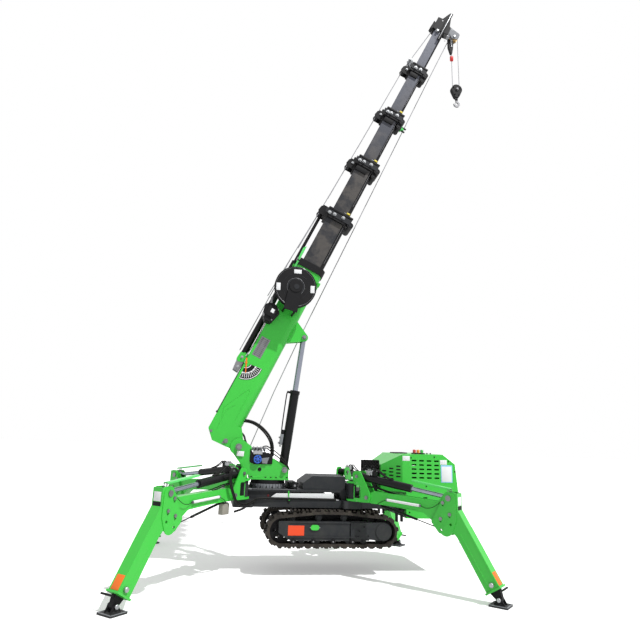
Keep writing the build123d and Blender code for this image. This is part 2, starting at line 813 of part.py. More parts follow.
def hood():
    def form(inset):
        """Solid inside the hood's skin, drawn in by inset and open below."""
        half = hood_half - inset
        with BuildPart() as solid:
            with BuildSketch(middle):
                add(rounded((hood_front + inset, deck_top + 10, 0), (hood_step + inset, deck_top + 10, 0),
                            (hood_step + inset, hood_bottom, 0), (hood_tail - 28 - inset, hood_bottom, 0),
                            (hood_tail - inset, hood_bottom + 120, 8), (hood_tail - 46 - inset, 1150, 8),
                            (hood_tail - 190, 1250 - inset, 8), (hood_shoulder, 1240 - inset, 8),
                            (hood_front + inset, 1120 - inset, 8)))
            extrude(amount=half, both=True)
            with BuildSketch(Plane.XY.offset(hood_bottom - 10)):
                add(rounded((hood_front, -250 + inset, 0), (hood_shoulder, -half, 0),
                            (hood_tail + 50, -half, 0), (hood_tail + 50, half, 0),
                            (hood_shoulder, half, 0), (hood_front, 250 - inset, 0)))
            extrude(amount=700, mode=Mode.INTERSECT)
        return solid.part

    with BuildPart() as cover:
        add(form(0))
        add(form(hood_wall), mode=Mode.SUBTRACT)
        # notch round the engine bay's floor
        with BuildSketch(middle):
            with Locations((hood_step, 654)):
                Rectangle(40, 28 + 2 * seat)
        extrude(amount=lower_half + seat, both=True, mode=Mode.SUBTRACT)
        # rows of slots in both flanks
        with BuildSketch(middle):
            for row in range(5):
                for column_number in range(4):
                    with Locations((hood_shoulder + 136 + 88 * column_number, 1178 - 45 * row)):
                        SlotOverall(58, 17)
            with Locations(*[(hood_shoulder + 180 + 80 * c, 790 - 36 * r) for c in (0, 1) for r in (0, 1)]):
                SlotOverall(52, 14)
        extrude(amount=hood_half + 10, both=True, mode=Mode.SUBTRACT)
    cover.part.label = "engine_hood"
    export_step(cover.part, "parts/engine_hood.step")

    with BuildPart() as engine:
        with BuildSketch(Plane.XY.offset(668)):
            with Locations((track_x + 1040, 0)):
                RectangleRounded(420, 400, 20)
        extrude(amount=400)
    engine.part.label = "engine"
    export_step(engine.part, "parts/engine.step")

    with BuildPart() as bank:
        with BuildSketch(Plane.XY.offset(deck_top)):
            with Locations((track_x + 455, -150)):
                Rectangle(160, 110)
        extrude(amount=270)
    bank.part.label = "outrigger_valves"
    export_step(bank.part, "parts/outrigger_valves.step")

    with BuildPart() as lights:
        slope = (1250 - 1240) / (hood_tail - 190 - hood_shoulder)
        light_x = hood_shoulder + 230
        foot = [(x, 1240 + slope * (x - hood_shoulder) + seat) for x in (light_x - 75, light_x + 75)]
        with BuildSketch(middle.offset(230)):
            Polygon(*foot, (light_x + 75, 1258), (light_x - 75, 1258), align=None)
        extrude(amount=40)
        with BuildSketch(Plane.XY.offset(1258)):
            with Locations(*[(light_x + 45 * k, -250) for k in (-1, 0, 1)]):
                Circle(15)
        extrude(amount=34)
    lights.part.label = "signal_lights"
    export_step(lights.part, "parts/signal_lights.step")


def leg_at(along, out):
    """Point in an outrigger's plane, along the leg from the knee and out from its line."""
    turn = radians(leg_angle)
    return (knee[0] + along * sin(turn) + out * cos(turn), knee[1] - along * cos(turn) + out * sin(turn))


def outrigger(tag, pivot_x, side, turn):
    plane = upright((pivot_x, side * swing_y, 0), turn)

    def level(height):
        return Plane((pivot_x, side * swing_y, height), x_dir=plane.x_dir, z_dir=(0, 0, 1))

    with BuildPart() as bracket:
        for height in (post_top + 3, post_bottom - 3 - flange):
            with BuildSketch(level(height)):
                add(hulled((0, 0, 60), (94, -ear_half - 8, 6), (94, ear_half + 8, 6)))
            extrude(amount=flange)
        with BuildSketch(level(post_bottom - 10)):
            Circle(king_radius)
        extrude(amount=post_top - post_bottom + 20)
        with BuildSketch(*both_sides(plane, ear_half, ear_half + ear_plate)):
            add(rounded((62, post_bottom - 23, 0), (62, post_top + 23, 0), (36, post_top + 40, 0),
                        (44, 1054, 40), (134, 1054, 40), (246, 850, 30), (252, 760, 20),
                        (200, post_bottom - 23, 20)))
        extrude(amount=ear_plate)
        with BuildSketch(*both_sides(plane, ear_half, ear_half + ear_plate)):
            add(rounded((30, post_bottom + 14, 0), (138, post_bottom + 14, 14), (138, post_top - 8, 14),
                        (30, post_top - 8, 0)))
        extrude(amount=ear_plate, mode=Mode.SUBTRACT)
        for centre, radius in ((ear_pin, 18), (root_pin, 20)):
            with BuildSketch(plane):
                with Locations(centre):
                    Circle(radius)
            extrude(amount=ear_half + ear_plate + 8, both=True)
    bracket.part.label = f"swing_bracket_{tag}"
    export_step(bracket.part, f"parts/swing_bracket_{tag}.step")

    lock = (1034, 675)
    with BuildPart() as arm:
        with BuildSketch(plane):
            add(rounded((248, 845, 20), (300, 866, 20), (1000, 826, 0), (1060, 900, 0), (1060, 700, 0),
                        (945, 640, 12), (850, 708, 60), (480, 738, 80), (232, 742, 30)))
            add(hulled((*knee, 42), (*lock, 28), (945, 650, 15)))
            add(hulled((*root_pin, 50), (300, 800, 50)))
        extrude(amount=arm_half, both=True)
        with BuildSketch(plane):
            with Locations(root_pin):
                Circle(48)
        extrude(amount=ear_half - seat, both=True)
        # slot for the eye of the cylinder's rod
        with BuildSketch(plane):
            add(hulled((knee[0] - 4, knee[1] - 8, 50), (knee[0], knee[1] + 90, 50), (980, 905, 50)))
        extrude(amount=arm_half - 16, both=True, mode=Mode.SUBTRACT)
        with BuildSketch(plane):
            with Locations(root_pin):
                Circle(20 + pin_gap)
        extrude(amount=ear_half, both=True, mode=Mode.SUBTRACT)
        # stub pins of the knee
        with BuildSketch(*both_sides(plane, arm_half - 15, ear_half + 16 + cheek_rise)):
            with Locations(knee):
                Circle(20)
        extrude(amount=ear_half + 31 + cheek_rise - arm_half)
        with BuildSketch(*both_sides(plane, leg_width / 2 + cheek_rise + face_gap,
                                     leg_width / 2 + cheek_rise + 10)):
            with Locations(knee):
                Circle(27)
        extrude(amount=8)
    arm.part.label = f"arm_{tag}"
    export_step(arm.part, f"parts/arm_{tag}.step")

    axis = rod_plane(plane, ear_pin, knee)
    reach = hypot(knee[0] - ear_pin[0], knee[1] - ear_pin[1])
    with BuildPart() as barrel:
        with BuildSketch(axis.offset(20)):
            Circle(stay_barrel)
        extrude(amount=stay_length - 20)
        with BuildSketch(plane):
            with Locations(ear_pin):
                Circle(36)
        extrude(amount=ear_half - seat, both=True)
        with BuildSketch(axis.offset(60)):
            Circle(stay_barrel - 8)
        extrude(amount=stay_length - 100, mode=Mode.SUBTRACT)
        with BuildSketch(axis.offset(stay_length - 50)):
            Circle(stay_rod + pin_gap)
        extrude(amount=60, mode=Mode.SUBTRACT)
        with BuildSketch(plane):
            with Locations(ear_pin):
                Circle(18 + pin_gap)
        extrude(amount=ear_half, both=True, mode=Mode.SUBTRACT)
    barrel.part.label = f"stay_barrel_{tag}"
    export_step(barrel.part, f"parts/stay_barrel_{tag}.step")

    with BuildPart() as rod:
        with BuildSketch(axis.offset(345)):
            Circle(stay_rod)
        extrude(amount=reach - 345 - 20)
        with BuildSketch(axis.offset(345)):
            Circle(stay_barrel - 8 - pin_gap)
        extrude(amount=35)
        with BuildSketch(plane):
            with Locations(knee):
                Circle(38)
        extrude(amount=arm_half - 16 - seat, both=True)
    rod.part.label = f"stay_rod_{tag}"
    export_step(rod.part, f"parts/stay_rod_{tag}.step")

    outer, end = 23.5, 830
    inner = outer - leg_depth
    half = leg_width / 2
    with BuildPart() as leg:
        with BuildSketch(plane):
            Polygon(leg_at(leg_top, outer), leg_at(end, outer), leg_at(end, inner),
                    leg_at(leg_top, inner), align=None)
            Polygon((1203, 915), (1203, 765), leg_at(leg_top + 5, outer), leg_at(leg_top + 5, outer - 9),
                    (1193, 763), (1193, 915), align=None)
        extrude(amount=half, both=True)
        with BuildSketch(*both_sides(plane, arm_half + 2, half)):
            add(rounded((1203, 765, 0), (1200, 912, 14), (1165, 922, 10), (1078, 922, 30), (1055, 860, 60),
                        (930, 640, 22), (1010, 545, 25), (1095, 528, 25), (1150, 566, 0),
                        (*leg_at(330, inner), 0), (*leg_at(330, outer), 0)))
        extrude(amount=half - arm_half - 2)
        # proud lock plates round the knee
        with BuildSketch(*both_sides(plane, half, half + cheek_rise)):
            add(hulled((knee[0] + 13, knee[1] - 8, 58), (1134, 680, 55), (1085, 590, 68), (1010, 640, 60)))
        extrude(amount=cheek_rise)
        # hollow of the tube, closed at its foot
        with BuildSketch(plane):
            Polygon(leg_at(leg_top - 60, outer - leg_wall - 1), leg_at(end - 60, outer - leg_wall - 1),
                    leg_at(end - 60, inner + leg_wall), leg_at(leg_top - 60, inner + leg_wall), align=None)
        extrude(amount=arm_half + 2, both=True, mode=Mode.SUBTRACT)
        # heads of the lock pins, and the free holes of the stowed position
        with BuildSketch(*both_sides(plane, half + cheek_rise - 1, half + cheek_rise + 9)):
            with Locations((1060, 822), (1126, 722), lock):
                Circle(16)
        extrude(amount=10)
        with BuildSketch(plane):
            with Locations((1132, 632), (1037, 580)):
                Circle(13)
            with Locations(knee):
                Circle(20 + pin_gap)
        extrude(amount=half + cheek_rise + 1, both=True, mode=Mode.SUBTRACT)
        # end flange and the tongue of the foot
        with BuildSketch(plane):
            Polygon(leg_at(end - 2, outer + 12), leg_at(end + 14, outer + 12), leg_at(end + 14, inner - 12),
                    leg_at(end - 2, inner - 12), align=None)
        extrude(amount=half + 12, both=True)
        with BuildSketch(plane):
            add(hulled((*foot_pin, 26), (*leg_at(end + 12, outer - 28), 12), (*leg_at(end + 12, inner + 28), 12)))
        extrude(amount=foot_tongue, both=True)
        with BuildSketch(plane):
            with Locations(foot_pin):
                Circle(16 + pin_gap)
        extrude(amount=50, both=True, mode=Mode.SUBTRACT)
    leg.part.label = f"leg_{tag}"
    export_step(leg.part, f"parts/leg_{tag}.step")

    with BuildPart() as foot:
        with BuildSketch(level(0)):
            with Locations((foot_pin[0], 0)):
                RectangleRounded(foot_plate, foot_plate, 10)
        extrude(amount=foot_plate_thick)
        with BuildSketch(*both_sides(plane, foot_tongue + face_gap, foot_tongue + face_gap + 13)):
            add(hulled((*foot_pin, 23), (foot_pin[0] - 50, 10, 3), (foot_pin[0] + 50, 10, 3)))
        extrude(amount=13)
        with BuildSketch(plane):
            with Locations(foot_pin):
                Circle(16)
        extrude(amount=foot_tongue + face_gap + 22, both=True)
    foot.part.label = f"foot_{tag}"
    export_step(foot.part, f"parts/foot_{tag}.step")


for side, tag in ((-1, "near"), (1, "far")):
    track(side, f"track_{tag}")
    track_frame(side, f"track_frame_{tag}")
chassis()
deck_box()
slewing_ring()
column()
boom_base()
for number in sections:
    boom_slider(number)
boom_head()
hoist()
luff_cylinder()
telescope_cylinder()
cable_reel()
hood()
for tag, (pivot_x, side, turn) in outriggers.items():
    outrigger(tag, pivot_x, side, turn)
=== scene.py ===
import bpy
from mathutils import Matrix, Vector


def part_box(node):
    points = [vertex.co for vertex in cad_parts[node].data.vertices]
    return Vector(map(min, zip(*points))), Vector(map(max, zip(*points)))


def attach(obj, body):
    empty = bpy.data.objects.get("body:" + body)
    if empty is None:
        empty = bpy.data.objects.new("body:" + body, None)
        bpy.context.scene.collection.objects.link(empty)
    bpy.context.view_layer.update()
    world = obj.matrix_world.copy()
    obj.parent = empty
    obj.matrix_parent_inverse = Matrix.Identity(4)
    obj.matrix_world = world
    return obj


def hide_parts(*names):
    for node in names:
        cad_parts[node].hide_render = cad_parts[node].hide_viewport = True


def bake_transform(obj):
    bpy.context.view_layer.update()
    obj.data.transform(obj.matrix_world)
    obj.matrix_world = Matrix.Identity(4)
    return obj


bl_info = {
    "name": "Spider crane",
    "version": (1, 0, 0),
    "blender": (4, 5, 0),
    "location": "3D View > Sidebar > Crane",
    "description": "Dresses a compact crawler crane with paint, ropes, hoses and fittings",
    "category": "Object",
}

from math import atan2, cos, pi, radians, sin

import bmesh
import bpy
from bpy.props import FloatProperty, FloatVectorProperty, PointerProperty
from mathutils import Matrix, Vector

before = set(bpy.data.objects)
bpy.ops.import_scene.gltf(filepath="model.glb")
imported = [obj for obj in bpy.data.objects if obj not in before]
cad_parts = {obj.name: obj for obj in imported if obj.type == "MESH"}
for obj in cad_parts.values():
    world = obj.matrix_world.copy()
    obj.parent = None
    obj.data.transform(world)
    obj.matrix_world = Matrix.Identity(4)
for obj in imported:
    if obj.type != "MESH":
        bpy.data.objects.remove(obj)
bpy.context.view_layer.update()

PIVOT = Vector((-0.8945, 0, 1.258))
BOOM_LEAN = radians(65)
RUN = Vector((cos(BOOM_LEAN), 0, sin(BOOM_LEAN)))
BACK = Vector((-sin(BOOM_LEAN), 0, cos(BOOM_LEAN)))
NEAR = Vector((0, -1, 0))
BOOM_AXIS = 0.229
SECTIONS = {
    2: (0.205, 0.285, 3.100), 3: (0.170, 0.245, 3.985), 4: (0.140, 0.210, 4.870),
    5: (0.112, 0.180, 5.755), 6: (0.085, 0.147, 6.560),
}
OUTRIGGERS = {
    "front_near": (-0.820, -1, 228), "front_far": (-0.820, 1, 132),
    "rear_near": (0.350, -1, 315), "rear_far": (0.350, 1, 45),
}
EAR_PIN, ROOT_PIN, KNEE = (0.092, 1.000), (0.212, 0.795), (1.115, 0.866)
LEG_ANGLE = radians(31)
# places on the boom as (along, back), on the machine's side as (x, z), and the lamps' (x, y)
HEAD_SHEAVE, REEL, LUFF_EYE = (6.580, -0.009), (1.874, 0.292), (1.451, -0.091)
LUFF_FOOT, WINCH = (-0.376, 1.030), (-0.65, 1.03)
LAMPS = (1.138, -0.250)
# side faces, from the machine's middle plane and from an outrigger's own
BOOM_SIDE, COLUMN_SIDE, HOOD_SIDE, DECK_SIDE, BEAM_SIDE = 0.1205, 0.150, 0.3722, 0.2602, 0.3005
BRACKET_SIDE, ARM_SIDE, LEG_SIDE, LOCK_SIDE, FOOT_SIDE = 0.0622, 0.0440, 0.0602, 0.0765, 0.0480
ROPE_SIDE = -0.085
PAD_OUT = 1.550
SHARP = radians(34)


class CraneColours(bpy.types.PropertyGroup):
    """Colours of the crane's paints."""

    paint: FloatVectorProperty(
        name="Body paint", description="Green of the legs, column, boom foot and hood",
        default=(0.045, 0.50, 0.05), subtype="COLOR", size=3, min=0, max=1)
    frame_paint: FloatVectorProperty(
        name="Frame paint", description="Dark grey of the chassis and the track frames",
        default=(0.022, 0.024, 0.027), subtype="COLOR", size=3, min=0, max=1)
    boom_paint: FloatVectorProperty(
        name="Boom paint", description="Near black of the sliding boom sections",
        default=(0.026, 0.027, 0.031), subtype="COLOR", size=3, min=0, max=1)
    patch: FloatVectorProperty(
        name="Side patch", description="Orange red patch on the track frame's side",
        default=(0.75, 0.07, 0.02), subtype="COLOR", size=3, min=0, max=1)


class CraneSizes(bpy.types.PropertyGroup):
    """Sizes of the crane's fittings."""

    rope: FloatProperty(
        name="Hoist rope", description="Diameter of the hoist rope",
        default=0.011, unit="LENGTH", min=0.004, max=0.02)
    hose: FloatProperty(
        name="Hose", description="Diameter of the hydraulic hoses",
        default=0.019, unit="LENGTH", min=0.008, max=0.04)
    pipe: FloatProperty(
        name="Pipe", description="Diameter of the steel pipes",
        default=0.014, unit="LENGTH", min=0.006, max=0.03)


class Signal:
    """A number running through a material, so that sums on it add maths nodes."""

    def __init__(self, shop, socket):
        self.shop, self.socket = shop, socket

    def _with(self, operation, first, second, clamp=False):
        return self.shop.node("ShaderNodeMath", {"operation": operation, "use_clamp": clamp},
                              {0: first, 1: second})

    def __add__(self, other):
        return self._with("ADD", self, other)

    def __radd__(self, other):
        return self._with("ADD", other, self)

    def __sub__(self, other):
        return self._with("SUBTRACT", self, other)

    def __rsub__(self, other):
        return self._with("SUBTRACT", other, self)

    def __mul__(self, other):
        return self._with("MULTIPLY", self, other)

    def __rmul__(self, other):
        return self._with("MULTIPLY", other, self)

    def larger(self, other):
        return self._with("MAXIMUM", self, other)

    def within(self):
        """The number held between 0 and 1."""
        return self._with("ADD", self, 0.0, clamp=True)

    def beside(self, name):
        """Another output of the same node."""
        return Signal(self.shop, self.socket.node.outputs[name])


class Shop:
    """A node tree and the way in which its nodes are added."""

    def __init__(self, tree):
        self.tree = tree

    def node(self, kind, settings=(), inputs=(), out=0):
        """Adds a node, with its settings first and then the values or links of its sockets."""
        made = self.tree.nodes.new(kind)
        for key, value in dict(settings).items():
            setattr(made, key, value)
        for key, value in dict(inputs).items():
            self.join(value, made.inputs[key])
        return Signal(self, made.outputs[out])

    def join(self, value, socket):
        if isinstance(value, Signal):
            value = value.socket
        if isinstance(value, bpy.types.NodeSocket):
            self.tree.links.new(value, socket)
        else:
            socket.default_value = value


class Finish(Shop):
    """A material and the few patterns that its colours and bumps are mixed from."""

    def __init__(self, name):
        self.material = bpy.data.materials.new(name)
        self.material.use_nodes = True
        super().__init__(self.material.node_tree)
        self.shader = self.tree.nodes["Principled BSDF"]
        self.place = self.node("ShaderNodeTexCoord", out="Object")

    def stretched(self, scale):
        """The place on the object, stretched along its axes."""
        return self.node("ShaderNodeMapping", (), {"Vector": self.place, "Scale": scale})

    def noise(self, scale, detail=4.0, rough=0.55, place=None, seed=0.0):
        settings = {"noise_dimensions": "4D"}
        return self.node("ShaderNodeTexNoise", settings, {
            "Vector": place or self.place, "Scale": scale, "Detail": detail, "Roughness": rough,
            "W": seed}, "Fac")

    def ramp(self, signal, low, high):
        """The signal spread from 0 at low to 1 at high."""
        return self.node("ShaderNodeMapRange", {"clamp": True},
                         {"Value": signal, "From Min": low, "From Max": high})

    def blend(self, share, first, second):
        """Colour first where share is 0 and second where it is 1."""
        first, second = (c if isinstance(c, Signal) else (*c, 1.0) for c in (first, second))
        return self.node("ShaderNodeMix", {"data_type": "RGBA"}, {0: share, 6: first, 7: second}, 2)

    def bump(self, height, depth, strength=1.0):
        return self.node("ShaderNodeBump", (), {"Height": height, "Distance": depth, "Strength": strength})

    def set(self, **sockets):
        """Fills the shader's sockets, written with _ for each space."""
        for key, value in sockets.items():
            self.join(value, self.shader.inputs[key.replace("_", " ")])


FINISHES = {}


def painted(name, colour, rough, dust, speck=0.5, coat=0.3, shine=0.18):
    """Sprayed paint with orange peel, faint fading and dust that gathers low down."""
    f = Finish(name)
    colour = Vector(colour)
    cloud = f.ramp(f.noise(1.7, 5), 0.35, 0.7)
    fine = f.noise(260.0, 2)
    height = f.node("ShaderNodeSeparateXYZ", (), {"Vector": f.place}, "Z")
    grime = f.ramp(f.noise(9.0, 6, 0.65, seed=3.0) - height * 0.18, 0.30, 0.62) * dust
    scuff = f.ramp(f.noise(34.0, 5, 0.7, f.stretched((1, 1, 3.0)), 5.0), 0.66, 0.74) * speck
    base = f.blend(cloud * 0.5, colour * 0.93, colour * 1.05)
    base = f.blend(grime, base, (0.20, 0.18, 0.145))
    base = f.blend(scuff * 0.25, base, colour * 0.55)
    f.set(Base_Color=base, Roughness=(rough + grime * 0.35 + scuff * 0.15 + fine * 0.05).within(),
          Coat_Weight=coat, Coat_Roughness=0.12, Specular_IOR_Level=shine,
          Normal=f.bump(f.noise(420.0, 2) * 0.6 + f.noise(55.0, 2) * 0.4, 0.0004, 0.35))
    return f.material


def slid(name, colour):
    """Worn paint of the sliding boom sections: brown rubbed patches, scratches, and a painted sky reflection that
    makes it paler and bluer higher up.
    """
    f = Finish(name)
    colour = Vector(colour)
    height = f.node("ShaderNodeSeparateXYZ", (), {"Vector": f.place}, "Z")
    # painted sky reflection: the paint turns pale blue grey from 4.6 m to 7.2 m up
    high = f.ramp(height, 4.6, 7.2)
    patch = f.ramp(f.noise(5.5, 4, 0.55, seed=4.0), 0.44, 0.58)
    rubbed = f.ramp(f.noise(22.0, 6, 0.7, seed=7.0), 0.50, 0.66)
    lines = f.ramp(f.noise(60.0, 3, 0.6, f.stretched((9.0, 1, 0.5)), 9.0), 0.66, 0.72)
    base = f.blend(patch * 0.75, colour, (0.085, 0.077, 0.070))
    # mix in the painted sky reflection, stronger higher up
    base = f.blend(high * 0.85, base, (0.155, 0.165, 0.205))
    base = f.blend(rubbed * 0.30, base, colour * 1.6)
    base = f.blend(lines * 0.35, base, (0.28, 0.28, 0.29))
    f.set(Base_Color=base, Roughness=(0.46 + patch * 0.12 + rubbed * 0.08).within(), Specular_IOR_Level=0.2,
          Normal=f.bump(f.noise(300.0, 2) * 0.5 + rubbed * 0.5, 0.0004, 0.4))
    return f.material


def bare_metal(name, colour, rough, marks=0.4, grain=(1, 1, 1)):
    """Bare or plated metal with fine grain and handling marks."""
    f = Finish(name)
    colour = Vector(colour)
    lines = f.noise(180.0, 3, 0.6, f.stretched(grain))
    blot = f.ramp(f.noise(14.0, 5, 0.6, seed=2.0), 0.4, 0.75) * marks
    f.set(Base_Color=f.blend(blot, colour, colour * 0.5), Metallic=1.0 - blot * 0.35,
          Roughness=(rough + lines * 0.12 + blot * 0.25).within(),
          Normal=f.bump(lines, 0.0003, 0.3))
    return f.material


def rubbery(name, colour, rough, dust=0.2):
    """Rubber or plain dark plastic, slightly pitted."""
    f = Finish(name)
    colour = Vector(colour)
    pits = f.noise(300.0, 3)
    dirt = f.ramp(f.noise(12.0, 6, 0.7, seed=1.0), 0.42, 0.75) * dust
    f.set(Base_Color=f.blend(dirt, colour, (0.17, 0.145, 0.115)),
          Roughness=(rough + dirt * 0.2 + pits * 0.08).within(), Specular_IOR_Level=0.18,
          Normal=f.bump(pits + f.noise(40.0, 4) * 0.6, 0.0007, 0.4))
    return f.material


def glazed(name, colour):
    """Clear coloured lens over a lamp."""
    f = Finish(name)
    rings = f.node("ShaderNodeTexWave", {"wave_type": "BANDS", "bands_direction": "Z"},
                   {"Vector": f.place, "Scale": 90.0, "Distortion": 0.0}, "Fac")
    f.set(Base_Color=f.blend(rings * 0.3, Vector(colour), Vector(colour) * 0.6), Roughness=0.12,
          Coat_Weight=0.8, Normal=f.bump(rings, 0.0006, 0.4))
    return f.material


def stranded(name, colour):
    """Laid wire rope, seen as fine grey steel with a little grease."""
    f = Finish(name)
    colour = Vector(colour)
    lay = f.noise(150.0, 2, 0.5, f.stretched((1, 1, 0.5)))
    worn = f.noise(30.0, 3)
    f.set(Base_Color=f.blend(lay * 0.4, colour, colour * 0.6), Metallic=0.7,
          Roughness=(0.42 + worn * 0.2).within(), Normal=f.bump(lay, 0.0004, 0.4))
    return f.material


def make_finishes(colours):
    green, grey, black = colours.paint, colours.frame_paint, colours.boom_paint
    FINISHES.update({
        "green": painted("body green paint", green, 0.32, 0.06, coat=0.1, shine=0.3),
        "grey": painted("frame grey paint", grey, 0.50, 0.08, coat=0.0),
        "boom": slid("boom black paint", black),
        "black": painted("gloss black paint", (0.004, 0.004, 0.005), 0.34, 0.02, coat=0.05),
        "matt": rubbery("matt black steel", (0.005, 0.005, 0.006), 0.55, 0.03),
        "dull": painted("dull dark grey", (0.020, 0.021, 0.024), 0.55, 0.08, coat=0.0),
        "chrome": bare_metal("hard chrome rod", (0.30, 0.32, 0.38), 0.18, 0.25, (1, 1, 1)),
        "zinc": bare_metal("zinc plate", (0.40, 0.41, 0.42), 0.36, 0.35),
        "steel": bare_metal("bare steel", (0.24, 0.24, 0.25), 0.38, 0.5),
        "light_grey": painted("light grey paint", (0.20, 0.21, 0.225), 0.45, 0.08, coat=0.05),
        "beige": painted("grey beige plastic", (0.27, 0.255, 0.22), 0.5, 0.1, coat=0.0),
        "rubber": rubbery("track rubber", (0.022, 0.019, 0.017), 0.74, 0.30),
        "hose": rubbery("hose rubber", (0.007, 0.007, 0.007), 0.52, 0.04),
        "bronze": bare_metal("sheave bronze", (0.36, 0.25, 0.11), 0.38, 0.4),
        "patch": painted("orange red patch", colours.patch, 0.45, 0.04, coat=0.1),
        "orange": painted("orange patch", (0.80, 0.17, 0.02), 0.45, 0.04, coat=0.1),
        "white": painted("white blank plate", (0.74, 0.75, 0.76), 0.45, 0.03, coat=0.1),
        "sky": painted("pale blue border", (0.30, 0.55, 0.80), 0.45, 0.03, coat=0.1),
        "yellow": painted("yellow paint", (0.66, 0.55, 0.06), 0.4, 0.05),
        "maroon": painted("dark red plug", (0.10, 0.004, 0.006), 0.5, 0.02),
        "red": painted("red paint", (0.55, 0.012, 0.01), 0.35, 0.05),
        "blue": painted("blue hand wheel", (0.03, 0.11, 0.50), 0.35, 0.05),
        "pale_green": painted("bright green rail paint", (0.10, 0.62, 0.14), 0.32, 0.03, coat=0.1, shine=0.3),
        "rope": stranded("hoist rope", (0.36, 0.36, 0.38)),
        "lens_red": glazed("red lens", (0.60, 0.01, 0.005)),
        "lens_amber": glazed("amber lens", (0.90, 0.28, 0.01)),
        "lens_green": glazed("green lens", (0.02, 0.45, 0.05)),
    })


NODE_FINISH = {
    "track_": "rubber", "track_frame": "grey", "track_wheels": "matt", "chassis": "grey",
    "deck_box": "grey", "slewing_ring": "light_grey", "slew_drive": "matt", "engine_hood": "green",
    "engine": "matt", "outrigger_valves": "matt", "signal_lights": "lens_amber", "column": "green",
    "crane_valve": "matt", "winch_drum": "matt", "boom_base": "green", "telescope_cylinder": "black",
    "cable_reel": "matt", "boom_section": "boom", "boom_head": "matt", "head_sheave": "bronze",
    "hoist_falls": "rope", "hook_block": "matt", "hook": "steel", "luff_barrel": "black",
    "luff_rod": "chrome", "swing_bracket": "green", "arm_": "green", "stay_barrel": "black",
    "stay_rod": "chrome", "leg_": "green", "foot_": "matt",
}


class CRANE_OT_paint(bpy.types.Operator):
    """Gives each solid of the frame its paint or metal"""

    bl_idname = "crane.paint"
    bl_label = "Paint the frame"

    def execute(self, context):
        make_finishes(context.scene.crane_colours)
        for name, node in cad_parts.items():
            fitting = max((key for key in NODE_FINISH if name.startswith(key)), key=len)
            node.data.materials.clear()
            node.data.materials.append(FINISHES[NODE_FINISH[fitting]])
        # parts of a solid that have another colour than the rest of it, and the painted shade under the boom sections
        boom = on_boom(0).inverted()
        self.second("boom_base", "matt", lambda c, n: (boom @ c).x > 2.205)
        self.second("boom_head", "light_grey", lambda c, n: (boom @ c).y < 0.10)
        self.second("column", "matt", lambda c, n: c.z < 0.922)
        for number, (width, depth, end) in SECTIONS.items():
            def collar(c, n, width=width, depth=depth, end=end):
                place = boom @ c
                out = abs(place.z) > width / 2 + 0.003 or abs(place.y - BOOM_AXIS) > depth / 2 + 0.003
                # faces under each section that point down and forward take the matt near black: a painted shade
                under = n.dot(BACK) < -0.25
                return (out and number < 6) or under
            self.second(f"boom_section_{number}", "matt", collar)
        for tag in OUTRIGGERS:
            leg = on_leg(tag).inverted()
            self.second(f"leg_{tag}", "matt", lambda c, n: (leg @ c).x > 0.8575)
            # heads of the pins that stand out of the plates
            plane = on_outrigger(tag).inverted()
            for name, reach in (("leg", 0.0675), ("arm", 0.0655), ("swing_bracket", 0.0632), ("foot", 0.0405)):
                self.second(f"{name}_{tag}", "steel", lambda c, n, reach=reach: abs((plane @ c).z) > reach and (
                    c.z > {"foot": 0.03, "leg": 0.5}.get(name, 0)))
        for name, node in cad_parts.items():
            if name.startswith("foot_"):
                self.second(name, "grey", lambda c, n: c.z < 0.03)
        return {"FINISHED"}

    @staticmethod
    def second(name, finish, chosen):
        """Puts a second finish on the faces of a node that the rule chooses by centre and normal."""
        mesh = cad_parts[name].data
        mesh.materials.append(FINISHES[finish])
        for face in mesh.polygons:
            if chosen(face.center, face.normal):
                face.material_index = len(mesh.materials) - 1


